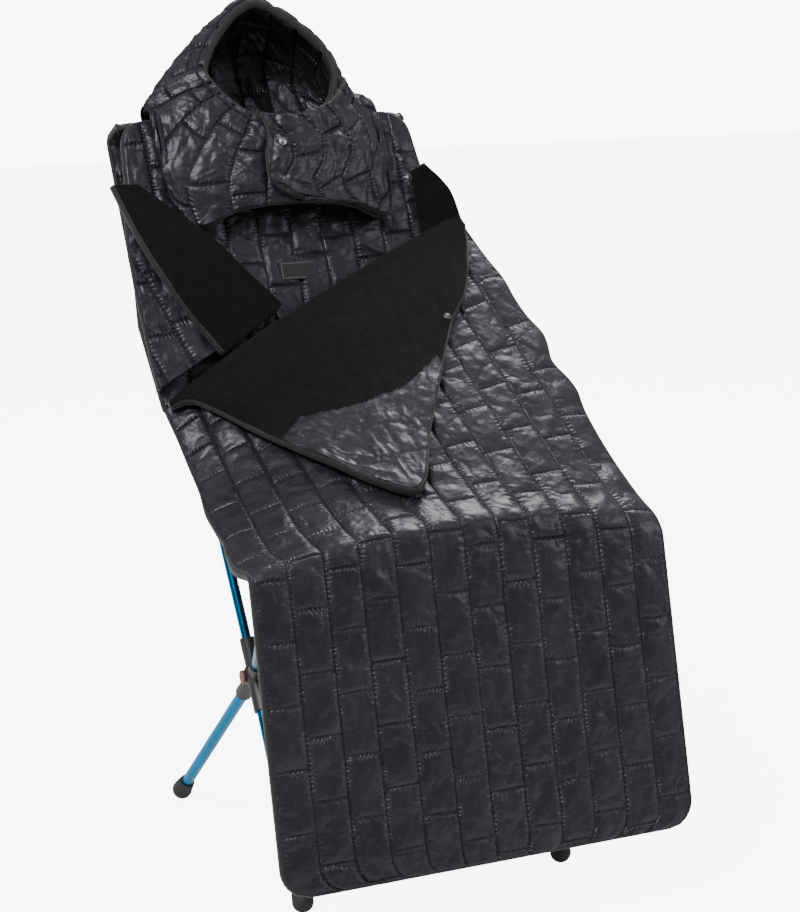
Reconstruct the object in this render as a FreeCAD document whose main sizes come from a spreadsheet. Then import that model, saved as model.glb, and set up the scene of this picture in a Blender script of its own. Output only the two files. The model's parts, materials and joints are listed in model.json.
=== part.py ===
import FreeCAD, Part
import Sketcher
import os
from FreeCAD import Placement, Rotation, Vector

# A hooded, quilted wrap blanket on the folding chair that carries it.
# Millimetres, +Z up, the chair faces -Y.  Heights are above the floor, depths are from the line
# through the two hubs, and hubY puts that line where the whole piece is centred on the origin.

doc = FreeCAD.newDocument("WrapBlanketChair")

driving = {
    # chair frame
    "hubX": 175, "hubY": -52, "hubZ": 261,
    "footX": 192, "frontFootY": -197, "rearFootY": 251,
    "legRadius": 8.2, "legWall": 1.2,
    "poleRadius": 6.6, "poleWall": 1.0,
    "footRadius": 14.5, "footMouth": 11, "footHeight": 27, "footSink": 1.5, "footBore": 22,
    "socketStart": 19, "socketLength": 52, "socketWall": 3.2, "slideClearance": 0.3,
    "fitClearance": 0.1, "hubCore": 17, "pinRadius": 9, "pinHeight": 3,
    "cordRadius": 1.6, "cordReach": 130,
    "backPoleX": 200, "backPoleY": 381, "backPoleZ": 937,
    "seatCornerX": 262, "seatCornerY": -250, "seatCornerZ": 424,
    "ferruleLength": 70, "ferruleGap": 1, "tipRadius": 8.4, "tipLength": 26, "tipDepth": 16,
    # sling
    "slingThickness": 2.6, "slingTopX": 176, "slingSeatX": 196, "slingWaistY": -70,
    "layerGap": 1.5, "slingGap": 4,
    "pocketWall": 2, "pocketLength": 62,
    # blanket, back layer
    "backTopY": 363, "backTopZ": 978, "recline": 28.3,
    "backTopX": 220, "backMidX": 248, "backLowX": 236, "backMidDrop": 300, "backLength": 425,
    "cornerRadius": 32, "quilt": 11, "binding": 7,
    "pocketDrop": 250, "pocketX": 222, "pocketSpace": 44, "pocketThickness": 8,
    "labelX": 33, "labelHeight": 23, "labelDrop": 238, "labelThickness": 1.2,
    "linerX": 190, "linerThickness": 9,
    # blanket, front layer
    "chestDrop": 308, "kneeGap": 8, "kneeY": -281, "kneeZ": 476, "kneeX": 289, "splay": 14.3,
    "panelLength": 384,
    "panelThickness": 13, "coverThickness": 10, "lapelQuilt": 8, "fleece": 4,
    "sheetGap": 5, "faceGap": 0.4, "flapGap": 6, "snapGap": 1.4, "snapDrop": 92,
    # hood
    "hoodX": 127, "hoodHeight": 105, "hoodDepth": 118, "hoodRise": 66, "hoodForward": 30, "hoodLift": 2,
    "hoodThickness": 8, "capeThickness": 8, "capeGap": 4, "capeX": 166, "capeTaper": 0.12, "capeShoulder": 60,
    "snapRadius": 6.3, "snapHeight": 2.2, "postRadius": 2.4,
}

sheet = doc.addObject("Spreadsheet::Sheet", "sizes")
for row, (alias, value) in enumerate(driving.items(), start=1):
    sheet.set(f"A{row}", alias)
    sheet.set(f"B{row}", str(value))
    sheet.setAlias(f"B{row}", alias)
doc.recompute()

parts = []


def size(alias):
    return float(sheet.get(alias))


def value(expression):
    return float(sheet.evalExpression(expression))


def point(triple):
    """A point in the row frame from three expressions, the second measured from the hub line."""
    return Vector(value(triple[0]), value(triple[1]) + size("hubY"), value(triple[2]))


def span(start, end):
    """The expression of the distance between two points given as expressions."""
    terms = [f"(({b}) - ({a}))^2" for a, b in zip(start, end)]
    return "sqrt(" + " + ".join(terms) + ")"


def along(start, end, offset=0.0):
    """Placement with local Z from start towards end, moved offset along it."""
    a, b = point(start), point(end)
    direction = (b - a).normalize()
    return Placement(a + direction * offset, Rotation(Vector(0, 0, 1), direction))


def keep(node, shape_object):
    shape_object.Label = node
    parts.append(shape_object)
    return shape_object


# ---------------------------------------------------------------- bodies and sketches

def newBody(name):
    return doc.addObject("PartDesign::Body", "Body_" + name)


def plane(body, role):
    return next(f for f in body.Origin.OriginFeatures if f.Role == role)


def newSketch(body, role, name):
    sketch = body.newObject("Sketcher::SketchObject", name)
    sketch.AttachmentSupport = [(plane(body, role), "")]
    sketch.MapMode = "FlatFace"
    return sketch


def bind(sketch, constraint, expression):
    index = sketch.addConstraint(constraint)
    sketch.setExpression(f"Constraints[{index}]", expression)


def drawCircle(sketch, radius):
    index = sketch.addGeometry(Part.Circle(Vector(0, 0, 0), Vector(0, 0, 1), value(radius)), False)
    sketch.addConstraint(Sketcher.Constraint("Coincident", index, 3, -1, 1))
    bind(sketch, Sketcher.Constraint("Radius", index, value(radius)), radius)


def drawOutline(sketch, corners):
    """A closed outline of straight lines whose corners are pairs of expressions."""
    spots = [Vector(value(x), value(y), 0) for x, y in corners]
    count = len(spots)
    first = sketch.GeometryCount
    for i in range(count):
        sketch.addGeometry(Part.LineSegment(spots[i], spots[(i + 1) % count]), False)
    for i in range(count):
        after = first + (i + 1) % count
        sketch.addConstraint(Sketcher.Constraint("Coincident", first + i, 2, after, 1))
    for i, (x, y) in enumerate(corners):
        line = first + i
        bind(sketch, Sketcher.Constraint("DistanceX", -1, 1, line, 1, value(x)), x)
        bind(sketch, Sketcher.Constraint("DistanceY", -1, 1, line, 1, value(y)), y)


def padSketch(body, sketch, length, reversed_side=False, midplane=False):
    pad = body.newObject("PartDesign::Pad", "Pad_" + body.Name)
    pad.Profile = sketch
    pad.setExpression("Length", length)
    pad.Reversed = reversed_side
    pad.Midplane = midplane
    sketch.Visibility = False
    doc.recompute()
    return pad


def pocketSketch(body, sketch, length, reversed_side=False):
    before = body.Shape.Volume
    pocket = body.newObject("PartDesign::Pocket", "Pocket_" + body.Name)
    pocket.Profile = sketch
    pocket.setExpression("Length", length)
    pocket.Reversed = reversed_side
    doc.recompute()
    if body.Shape.Volume >= before:
        raise ValueError(f"{body.Label}: the pocket cuts nothing")
    return pocket


def roundEdges(body, radius, chosen):
    """Fillets the edges of the body's tip for which chosen(edge) holds."""
    tip = body.Tip
    names = [f"Edge{i}" for i, edge in enumerate(tip.Shape.Edges, start=1) if chosen(edge)]
    fillet = body.newObject("PartDesign::Fillet", "Fillet_" + body.Name)
    fillet.Base = (tip, names)
    fillet.setExpression("Radius", radius)
    doc.recompute()
    return fillet


def tube(node, start, end, radius, wall, from_start, from_end):
    """A round tube on the line from start to end, shortened at each end by an expression."""
    body = newBody(node)
    ring = newSketch(body, "XY_Plane", "Ring_" + node)
    drawCircle(ring, radius)
    drawCircle(ring, f"{radius} - {wall}")
    padSketch(body, ring, f"{span(start, end)} - ({from_start}) - ({from_end})")
    body.Placement = along(start, end, value(from_start))
    return keep(node, body)


def rod(node, start, end, radius, from_start, length):
    body = newBody(node)
    disc = newSketch(body, "XY_Plane", "Disc_" + node)
    drawCircle(disc, radius)
    padSketch(body, disc, length)
    body.Placement = along(start, end, value(from_start))
    return keep(node, body)


# ---------------------------------------------------------------- chair frame

def sideTriple(sign, x, y, z):
    """A point on one side: sign -1 is the left side seen from the front, 1 is the right."""
    return (f"{sign} * ({x})", y, z)


legRise = "sizes.footRadius - sizes.footSink"
footSpots = {"front": "sizes.frontFootY", "rear": "sizes.rearFootY"}


def hubPoint(sign):
    return sideTriple(sign, "sizes.hubX", "0", "sizes.hubZ")


def footPoint(sign, end):
    return sideTriple(sign, "sizes.footX", footSpots[end], legRise)


def backPolePoint(sign):
    return sideTriple(sign, "sizes.backPoleX", "sizes.backPoleY", "sizes.backPoleZ")


def seatCornerPoint(sign):
    return sideTriple(sign, "sizes.seatCornerX", "sizes.seatCornerY", "sizes.seatCornerZ")


def cylinder(name, radius, length, placement):
    piece = doc.addObject("Part::Cylinder", name)
    piece.setExpression("Radius", radius)
    piece.setExpression("Height", length)
    piece.Placement = placement
    return piece


def makeHub(side, sign):
    """A moulded hub: a round core with a blind socket towards each tube."""
    hub = hubPoint(sign)
    inward = ("0", "0", "sizes.hubZ")
    arms = [
        (footPoint(sign, "front"), "sizes.legRadius"),
        (footPoint(sign, "rear"), "sizes.legRadius"),
        (backPolePoint(sign), "sizes.poleRadius"),
        (seatCornerPoint(sign), "sizes.poleRadius"),
        (inward, "sizes.legRadius"),
    ]
    core = doc.addObject("Part::Sphere", f"Core_{side}")
    core.setExpression("Radius", "sizes.hubCore")
    core.Placement = Placement(point(hub), Rotation())
    solids = [core]
    bores = []
    for number, (target, radius) in enumerate(arms):
        outer = f"{radius} + sizes.slideClearance + sizes.socketWall"
        solids.append(cylinder(f"Arm_{side}_{number}", outer, "sizes.socketLength", along(hub, target)))
        start = along(hub, target, value("sizes.socketStart - sizes.slideClearance"))
        bore = f"{radius} + sizes.slideClearance"
        bores.append(cylinder(f"Bore_{side}_{number}", bore, "sizes.socketLength", start))
    block = doc.addObject("Part::MultiFuse", f"Block_{side}")
    block.Shapes = solids
    cutters = doc.addObject("Part::MultiFuse", f"Bores_{side}")
    cutters.Shapes = bores
    body = doc.addObject("Part::Cut", f"Hub_{side}")
    body.Base = block
    body.Tool = cutters
    keep(f"hub_{side}", body)
    outside = Placement(point(hub) + Vector(sign * size("hubCore"), 0, 0),
                        Rotation(Vector(0, 0, 1), Vector(sign, 0, 0)))
    keep(f"hub_pin_{side}", cylinder(f"Pin_{side}", "sizes.pinRadius", "sizes.pinHeight", outside))


def makeFoot(side, sign, end):
    """A rubber foot: a ball that flattens on the floor, drawn up into a cup round the leg."""
    ball = footPoint(sign, end)
    node = f"foot_{end}_{side}"
    sphere = doc.addObject("Part::Sphere", "Ball_" + node)
    sphere.setExpression("Radius", "sizes.footRadius")
    cup = doc.addObject("Part::Cone", "Cup_" + node)
    cup.setExpression("Radius1", "sizes.footRadius")
    cup.setExpression("Radius2", "sizes.footMouth")
    cup.setExpression("Height", "sizes.footHeight")
    bore = doc.addObject("Part::Cylinder", "Bore_" + node)
    bore.setExpression("Radius", "sizes.legRadius + sizes.fitClearance")
    bore.setExpression("Height", "sizes.footHeight")
    aim = along(ball, hubPoint(sign))
    sphere.Placement = aim
    cup.Placement = aim
    bore.Placement = along(ball, hubPoint(sign), value("sizes.footHeight - sizes.footBore"))
    outer = doc.addObject("Part::Fuse", "Outer_" + node)
    outer.Base = sphere
    outer.Tool = cup
    floor = doc.addObject("Part::Box", "Floor_" + node)
    for edge in ("Length", "Width"):
        floor.setExpression(edge, "4 * sizes.footRadius")
    floor.setExpression("Height", "sizes.footRadius")
    corner = point(ball) - Vector(2, 2, 1) * size("footRadius")
    floor.Placement = Placement(Vector(corner.x, corner.y, -size("footRadius")), Rotation())
    worn = doc.addObject("Part::Cut", "Worn_" + node)
    worn.Base = outer
    worn.Tool = floor
    foot = doc.addObject("Part::Cut", "Foot_" + node)
    foot.Base = worn
    foot.Tool = bore
    keep(node, foot)


def makeFrame():
    cords = []
    for side, sign in (("left", -1), ("right", 1)):
        makeHub(side, sign)
        hub = hubPoint(sign)
        for end in ("front", "rear"):
            tube(f"leg_{end}_{side}", hub, footPoint(sign, end), "sizes.legRadius", "sizes.legWall",
                 "sizes.socketStart", "sizes.footHeight - sizes.footBore + sizes.fitClearance")
            makeFoot(side, sign, end)
            start = along(hub, footPoint(sign, end), value("sizes.socketStart - sizes.slideClearance"))
            cords.append(cylinder(f"Cord_{end}_{side}", "sizes.cordRadius", "sizes.cordReach", start))
        tube(f"seat_pole_{side}", hub, seatCornerPoint(sign), "sizes.poleRadius", "sizes.poleWall",
             "sizes.socketStart", "sizes.tipDepth * 0.2")
        makeBackPole(side, sign)
        for end, corner in (("seat", seatCornerPoint(sign)), ("back", backPolePoint(sign))):
            makeTip(f"tip_{end}_{side}", hub, corner)
            makeCornerPocket(f"corner_pocket_{end}_{side}", hub, corner)
    tube("cross_tube", hubPoint(-1), hubPoint(1), "sizes.legRadius", "sizes.legWall",
         "sizes.socketStart", "sizes.socketStart")
    group = doc.addObject("Part::Compound", "Leg_cords")
    group.Links = cords
    keep("leg_shock_cords", group)


def makeBackPole(side, sign):
    """The back pole in two lengths, plugged together over an inner ferrule half way up."""
    hub = hubPoint(sign)
    top = backPolePoint(sign)
    whole = span(hub, top)
    lower = f"({whole}) / 2 + sizes.ferruleGap / 2"
    tube(f"back_pole_lower_{side}", hub, top, "sizes.poleRadius", "sizes.poleWall",
         "sizes.socketStart", lower)
    tube(f"back_pole_upper_{side}", hub, top, "sizes.poleRadius", "sizes.poleWall",
         lower, "sizes.tipDepth * 0.2")
    inner = "sizes.poleRadius - sizes.poleWall - sizes.fitClearance"
    rod(f"ferrule_{side}", hub, top, inner, f"({whole}) / 2 - sizes.ferruleLength / 2",
        "sizes.ferruleLength")


def makeTip(node, hub, corner):
    """A moulded ball end that plugs over a pole and sits in the sling's corner pocket."""
    ball = doc.addObject("Part::Sphere", "Ball_" + node)
    ball.setExpression("Radius", "sizes.tipRadius")
    ball.Placement = along(hub, corner, value(span(hub, corner)))
    sleeve = cylinder("Sleeve_" + node, "sizes.tipRadius", "sizes.tipLength",
                      along(hub, corner, value(f"{span(hub, corner)} - sizes.tipLength")))
    bore = cylinder("Bore_" + node, "sizes.poleRadius + sizes.fitClearance", "sizes.tipLength",
                    along(hub, corner, value(f"{span(hub, corner)} - sizes.tipLength"
                                             " - sizes.tipDepth * 0.2 + sizes.fitClearance")))
    outer = doc.addObject("Part::Fuse", "Outer_" + node)
    outer.Base = ball
    outer.Tool = sleeve
    tip = doc.addObject("Part::Cut", "Tip_" + node)
    tip.Base = outer
    tip.Tool = bore
    keep(node, tip)


def makeCornerPocket(node, hub, corner):
    """The sling's reinforced corner: a blind sleeve over the pole's ball end."""
    inner = "sizes.tipRadius + sizes.slideClearance"
    outer = f"{inner} + sizes.pocketWall"
    reach = f"{span(hub, corner)} + sizes.tipRadius"
    outside = cylinder("Outside_" + node, outer, "sizes.pocketLength + sizes.pocketWall",
                     along(hub, corner, value(f"{reach} - sizes.pocketLength")))
    hollow = cylinder("Hollow_" + node, inner, "sizes.pocketLength * 2",
                      along(hub, corner, value(f"{reach} - sizes.pocketLength * 2 + sizes.slideClearance")))
    pocket = doc.addObject("Part::Cut", "Pocket_" + node)
    pocket.Base = outside
    pocket.Tool = hollow
    keep(node, pocket)


# ---------------------------------------------------------------- sewn panels

def lean(y, z, degrees):
    """Placement at a point of the middle plane, its Z axis tipped back by an angle."""
    return Placement(Vector(0, value(y) + size("hubY"), value(z)),
                     Rotation(Vector(1, 0, 0), -value(degrees)))


def backPlane():
    return lean("sizes.backTopY", "sizes.backTopZ", "sizes.recline")


def slab(node, corners, behind, thickness, placement, rounded=None, radius=None):
    """A flat panel from an outline in its XZ plane, its front face a distance behind the plane."""
    body = newBody(node)
    sketch = newSketch(body, "XZ_Plane", "Outline_" + node)
    drawOutline(sketch, corners)
    padSketch(body, sketch, thickness, reversed_side=True)
    if rounded is not None:
        roundEdges(body, radius, rounded)
    shift = Placement(Vector(0, value(behind), 0), Rotation())
    body.Placement = placement.multiply(shift)
    return body


def alongY(edge):
    direction = edge.tangentAt(edge.FirstParameter)
    return abs(direction.y) > 0.99 and edge.Curve.TypeId == "Part::GeomLine"


def mirrored(rightSide):
    """A closed outline from its right-hand corners, listed from the bottom up."""
    return rightSide + [(f"-({x})", z) for x, z in reversed(rightSide)]


def backOutline(inset):
    return mirrored([
        (f"sizes.backLowX - {inset}", f"{inset} - sizes.backLength"),
        (f"sizes.backMidX - {inset}", "-sizes.backMidDrop"),
        (f"sizes.backTopX - {inset}", f"-({inset})"),
    ])


def kneeOutline(inset):
    return mirrored([
        (f"sizes.kneeX - {inset}", f"{inset} - sizes.panelLength"),
        (f"sizes.kneeX - {inset}", f"-sizes.kneeGap - ({inset})"),
    ])


def isTop(edge):
    return alongY(edge) and edge.CenterOfMass.z > -size("backMidDrop") / 2


def isHem(edge):
    return alongY(edge) and edge.CenterOfMass.z < -size("panelLength") / 2


def bindingRim(node, outline, thickness, placement, corner):
    """The sewn binding round a panel's edge, with the panel inside it."""
    outer = outline("0")
    inner = outline("(sizes.binding - sizes.fitClearance)")
    body = newBody(node)
    rim = newSketch(body, "XZ_Plane", "Outer_" + node)
    drawOutline(rim, outer)
    padSketch(body, rim, thickness, reversed_side=True)
    hole = newSketch(body, "XZ_Plane", "Inner_" + node)
    drawOutline(hole, inner)
    pocketSketch(body, hole, thickness)
    edge_of_hole = {round(value(x), 3) for x, z in inner}
    roundEdges(body, "sizes.cornerRadius - sizes.binding + sizes.fitClearance",
               lambda edge: corner(edge) and round(edge.CenterOfMass.x, 3) in edge_of_hole)
    edge_of_rim = {round(value(x), 3) for x, z in outer}
    roundEdges(body, "sizes.cornerRadius",
               lambda edge: corner(edge) and round(edge.CenterOfMass.x, 3) in edge_of_rim)
    body.Placement = placement
    return keep(node, body)


def makeBackLayer():
    body = slab("back_panel", backOutline("sizes.binding"), "0", "sizes.quilt", backPlane(),
                isTop, "sizes.cornerRadius - sizes.binding")
    keep("back_panel", body)
    bindingRim("back_binding", backOutline, "sizes.quilt", backPlane(), isTop)
    body = slab("label_patch", mirrored([
        ("sizes.labelX", "-sizes.labelDrop - sizes.labelHeight"),
        ("sizes.labelX", "-sizes.labelDrop"),
    ]), "-sizes.labelThickness", "sizes.labelThickness", backPlane())
    keep("label_patch", body)
    makeSleeve()
    makeSling()


def makeSleeve():
    """The rear sleeve that slips down over the chair's back, closed along its top."""
    body = newBody("back_sleeve")
    sketch = newSketch(body, "YZ_Plane", "Profile_back_sleeve")
    front = "sizes.quilt + sizes.layerGap"
    inside = "sizes.quilt + sizes.pocketSpace"
    outside = f"{inside} + sizes.pocketThickness"
    drawOutline(sketch, [
        (front, "-sizes.pocketThickness"), (inside, "-sizes.pocketThickness"),
        (inside, "-sizes.pocketDrop"), (outside, "-sizes.pocketDrop"),
        (outside, "-sizes.pocketThickness"), (inside, "0"), (front, "0"),
    ])
    padSketch(body, sketch, "2 * sizes.pocketX", midplane=True)
    body.Placement = backPlane()
    keep("back_sleeve", body)


def profileBand(node, spine, thickness, below, width):
    """A band of even thickness that follows a side profile, padded across the chair."""
    upper = []
    lower = []
    for i, spot in enumerate(spine):
        before = spine[max(i - 1, 0)]
        after = spine[min(i + 1, len(spine) - 1)]
        run = f"(({after[0]}) - ({before[0]}))"
        rise = f"(({after[1]}) - ({before[1]}))"
        reach = f"sqrt({run}^2 + {rise}^2)"
        for row, depth in ((upper, below), (lower, f"({below} + {thickness})")):
            row.append((f"({spot[0]}) + {depth} * {rise} / {reach}",
                        f"({spot[1]}) - {depth} * {run} / {reach}"))
    body = newBody(node)
    sketch = newSketch(body, "YZ_Plane", "Profile_" + node)
    drawOutline(sketch, upper + lower[::-1])
    padSketch(body, sketch, width, midplane=True)
    body.Placement = Placement(Vector(0, size("hubY"), 0), Rotation())
    return keep(node, body)


def onSlope(drop, behind):
    """Depth and height, as expressions, of a spot a drop down the back and some way behind it."""
    lean_angle = "sizes.recline * pi / 180"
    return (f"sizes.backTopY - ({drop}) * sin({lean_angle} * 1 rad) + ({behind}) * cos({lean_angle} * 1 rad)",
            f"sizes.backTopZ - ({drop}) * cos({lean_angle} * 1 rad) - ({behind}) * sin({lean_angle} * 1 rad)")


def seatSpine():
    """The side profile of the seat, from the back's foot to the front edge."""
    front = "sizes.seatCornerY"
    return [
        onSlope("sizes.backLength + sizes.layerGap", "1"),
        ("92", "sizes.seatCornerZ + 90"),
        ("46", "sizes.seatCornerZ + 28"),
        ("-10", "sizes.seatCornerZ + 2"),
        ("-90", "sizes.seatCornerZ - 2"),
        (f"{front} + 70", "sizes.seatCornerZ + 14"),
        (f"{front} + 12", "sizes.seatCornerZ + 28"),
    ]


def makeSling():
    spine = seatSpine()
    liner = list(reversed(spine))
    profileBand("seat_liner", liner, "sizes.linerThickness", "0", "2 * sizes.linerX")
    under = "(sizes.linerThickness + sizes.slingGap)"
    back = onSlope("sizes.backLength + 6", f"sizes.quilt + sizes.slingGap - {under}")
    top = onSlope("sizes.pocketThickness + 12", f"sizes.quilt + sizes.slingGap - {under}")
    sling = liner[:-1] + [back, top]
    body = profileBand("sling", sling, "sizes.slingThickness", under, "2 * sizes.seatCornerX")
    trimSling(body)


def trimSling(body):
    """Narrows the sling behind its front corners, so that it hangs between the back poles."""
    front = "sizes.seatCornerY + 30"
    far = "2 * sizes.backPoleY"
    for side, sign in (("left", "-1"), ("right", "1")):
        sketch = newSketch(body, "XY_Plane", "Trim_" + side)
        drawOutline(sketch, [
            (f"{sign} * sizes.seatCornerX * 2", front),
            (f"{sign} * sizes.seatCornerX", front),
            (f"{sign} * sizes.slingSeatX", "sizes.slingWaistY"),
            (f"{sign} * sizes.slingTopX", "sizes.slingWaistY * -1"),
            (f"{sign} * sizes.slingTopX", far),
            (f"{sign} * sizes.seatCornerX * 2", far),
        ])
        pocketSketch(body, sketch, "sizes.backTopZ", reversed_side=True)


# ---------------------------------------------------------------- draped sheets

def onBack(across, drop, forward):
    """A point near the back: across, down its slope and forward of its front face."""
    return backPlane().multVec(Vector(across, -forward, -drop))


# Each line of the front cover runs from the chest fold to the knee: the share of that way,
# the lift off the straight line, and the share of the knee's half width.
coverLines = {
    "left": [(0, 0, 0.84), (0.1, -22, 0.825), (0.2, -41, 0.82), (0.33, -51, 0.83),
             (0.52, -47, 0.88), (0.69, -34, 0.94), (0.85, -16, 0.983), (0.955, 2, 0.995), (1, 0, 1)],
    "crown": [(0, 0, 0), (0.17, 6, 0), (0.33, 4, 0), (0.48, 6, 0),
              (0.62, 10, 0), (0.76, 14, 0), (0.87, 22, 0), (0.945, 27, 0), (1, 0, 0)],
    "right": [(0, 0, 0.865), (0.16, -6, 0.92), (0.32, -10, 0.96), (0.47, -12, 0.983),
              (0.61, -14, 0.99), (0.75, -14, 0.993), (0.88, -6, 0.997), (0.96, 5, 0.998), (1, 0, 1)],
}
coverSteps = len(coverLines["crown"])


def chestPoint(line):
    """Where a line of the cover starts, under the fold of the front flap."""
    return {
        "left": onBack(-size("backMidX") + 5, size("backLength") + 7, 20),
        "crown": onBack(0, size("chestDrop"), 44),
        "right": onBack(size("backMidX") + 2, size("chestDrop") - 113, 44),
    }[line]


def kneePoint():
    return Vector(0, size("kneeY") + size("hubY") + size("faceGap"), size("kneeZ"))


def linePoint(line, step):
    share, lift, width = coverLines[line][step]
    start, end = chestPoint(line), kneePoint()
    way = end - start
    flat = Vector(0, way.y, way.z).normalize()
    sign = {"left": -1, "crown": 0, "right": 1}[line]
    return Vector(sign * width * size("kneeX"),
                  start.y + way.y * share + flat.z * lift,
                  start.z + way.z * share - flat.y * lift)


def coverPoint(across, step):
    """A point of the cover's outer face, across from -1 at the left edge to 1 at the right."""
    left, crown, right = (linePoint(line, step) for line in ("left", "crown", "right"))
    u = across
    return left * (u * (u - 1) / 2) + crown * (1 - u * u) + right * (u * (u + 1) / 2)


def coverAt(across, down):
    """The same for any share of the steps down from the chest, on a smooth curve."""
    place = min(max(down, 0), 1) * (coverSteps - 1)
    step = min(int(place), coverSteps - 2)
    rest = place - step
    before, start, end, after = (coverPoint(across, min(max(step + i, 0), coverSteps - 1))
                                 for i in (-1, 0, 1, 2))
    return (start + (end - before) * (0.5 * rest)
            + (before * 2 - start * 5 + end * 4 - after) * (0.5 * rest ** 2)
            + (start * 3 - before - end * 3 + after) * (0.5 * rest ** 3))


def coverFacing(across, down):
    """The outward direction of the cover's face."""
    step = 0.06
    sideways = coverAt(min(across + step, 1), down) - coverAt(max(across - step, -1), down)
    downwards = coverAt(across, down + step) - coverAt(across, down - step)
    return downwards.cross(sideways).normalize()


def facing(rows, i, j):
    """The outward direction of a grid of points at one of them."""
    above, below = rows[max(i - 1, 0)][j], rows[min(i + 1, len(rows) - 1)][j]
    before, after = rows[i][max(j - 1, 0)], rows[i][min(j + 1, len(rows[i]) - 1)]
    return (after - before).cross(below - above).normalize() * -1


def draped(node, rows, thickness, lift=0.0, normals=None, closing=None):
    """A closed sheet of cloth over a grid of points, its outer face lifted off them."""
    if normals is None:
        normals = [[facing(rows, i, j) for j in range(len(row))] for i, row in enumerate(rows)]
    outer = []
    inner = []
    for row, out in zip(rows, normals):
        outer.append([p + n * lift for p, n in zip(row, out)])
        inner.append([p + n * (lift - size(thickness)) for p, n in zip(row, out)])
    cloth = doc.addObject("Part::Feature", "Sheet_" + node)
    cloth.Shape = (closing or closedSheet)(outer, inner)
    return keep(node, cloth)


def closedSheet(outer, inner):
    """A solid between two smooth skins, closed round their edges."""
    skins = []
    for grid in (outer, inner):
        skin = Part.BSplineSurface()
        skin.interpolate(grid)
        skins.append(skin)
    faces = [skin.toShape() for skin in skins]
    for pick in (lambda k: k.uIso(k.bounds()[0]), lambda k: k.uIso(k.bounds()[1]),
                 lambda k: k.vIso(k.bounds()[2]), lambda k: k.vIso(k.bounds()[3])):
        faces.append(Part.makeRuledSurface(pick(skins[0]).toShape(), pick(skins[1]).toShape()))
    shell = Part.makeShell(faces)
    shell.sewShape()
    solid = Part.makeSolid(shell)
    if solid.Volume < 0:
        solid.reverse()
    return solid


def facetedSheet(outer, inner):
    """The same from flat triangles, for a sheet that narrows almost to a point."""
    faces = []

    def quad(a, b, c, d):
        for corners in ((a, b, c), (a, c, d)):
            faces.append(Part.Face(Part.makePolygon(list(corners) + [corners[0]])))

    for i in range(len(outer) - 1):
        for j in range(len(outer[0]) - 1):
            for grid in (outer, inner):
                quad(grid[i][j], grid[i][j + 1], grid[i + 1][j + 1], grid[i + 1][j])
    rims = [(row, other) for row, other in ((outer[0], inner[0]), (outer[-1], inner[-1]))]
    for end in (0, -1):
        rims.append(([row[end] for row in outer], [row[end] for row in inner]))
    for edge, other in rims:
        for j in range(len(edge) - 1):
            quad(edge[j], edge[j + 1], other[j + 1], other[j])
    shell = Part.makeShell(faces)
    shell.sewShape()
    solid = Part.makeSolid(shell)
    if solid.Volume < 0:
        solid.reverse()
    return solid


def spread(start, end, count):
    return [start + (end - start) * (i / (count - 1)) for i in range(count)]


def makeCover():
    columns = [i / 5 - 1 for i in range(11)]
    rows = [[coverAt(across, i / 20) for across in columns] for i in range(21)]
    draped("front_cover", rows, "coverThickness")


# Places by the back are shares across of backMidX, shares down of backLength and reaches forward.
# The left wing from its top corner down: its side seam, then the lapel's fold.
wingRows = [
    (-0.968, 0.264, 14, -0.911, 0.252, 14),
    (-1, 0.428, 14, -0.714, 0.353, 15),
    (-1.008, 0.588, 14, -0.524, 0.461, 17),
    (-1, 0.753, 14, -0.355, 0.593, 21),
    (-0.984, 0.941, 14, -0.202, 0.706, 25),
]
# The lapel's free edge beside each of those rows.
lapelEdge = [(-1.056, 0.249), (-0.98, 0.395), (-0.887, 0.534), (-0.75, 0.696), (-0.589, 0.852)]
# The right wing: beside the back, then out at the fold.
rightWingRows = [
    (0.831, 0.235, 14, 0.903, 0.224, 28),
    (0.855, 0.353, 14, 0.996, 0.334, 42),
    (0.895, 0.494, 14, 1.04, 0.461, 38),
    (0.935, 0.635, 14, 1.065, 0.579, 34),
    (0.96, 0.776, 14, 1.081, 0.706, 30),
]
# Where the right side wall starts and ends, from the cover's mirrored left edge and its right edge.
seamOffset = (0, 0, -6)
sideOffset = (-6, 10, -24)
# The front flap's free edge, as shares across the cover and down it, from left to right.
flapEdge = [(-0.97, 0.03), (-0.86, 0.06), (-0.73, 0.165), (-0.53, 0.355), (-0.34, 0.52),
            (-0.16, 0.66), (-0.07, 0.66), (0.12, 0.49), (0.35, 0.328), (0.55, 0.217),
            (0.72, 0.16), (0.87, 0.085), (0.96, 0.03)]


def byBack(across, down, forward):
    """A point by the back layer, from shares of its width and length."""
    return onBack(across * size("backMidX"), down * size("backLength"), forward)


def makeLeftWing():
    rows = [spread(byBack(*row[:3]), byBack(*row[3:]), 5) for row in wingRows]
    draped("left_wing", rows, "coverThickness")


def makeLapel():
    """The left front edge folded out flat: its quilt below, its fleece face on top."""
    rows = [spread(byBack(across, down, row[2] + 1), byBack(*row[3:]), 5)
            for row, (across, down) in zip(wingRows, lapelEdge)]
    under = "sizes.sheetGap + sizes.lapelQuilt"
    draped("left_lapel", rows, "lapelQuilt", value(under))
    draped("left_lapel_fleece", rows, "fleece", value(under + " + sizes.faceGap + sizes.fleece"))


def makeRightWing():
    rows = [spread(byBack(*row[:3]), byBack(*row[3:]), 4) for row in rightWingRows]
    draped("right_wing", rows, "fleece")


def makeRightSide():
    """The side wall from the cover's right edge down to the seam along the seat."""
    rows = []
    for step in range(3, coverSteps - 1):
        across = linePoint("left", step)
        low = Vector(-across.x, across.y, across.z) + Vector(*seamOffset)
        high = linePoint("right", step) + Vector(*sideOffset)
        rows.append(spread(low, high, 4))
    draped("right_side", rows, "quilt")


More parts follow.
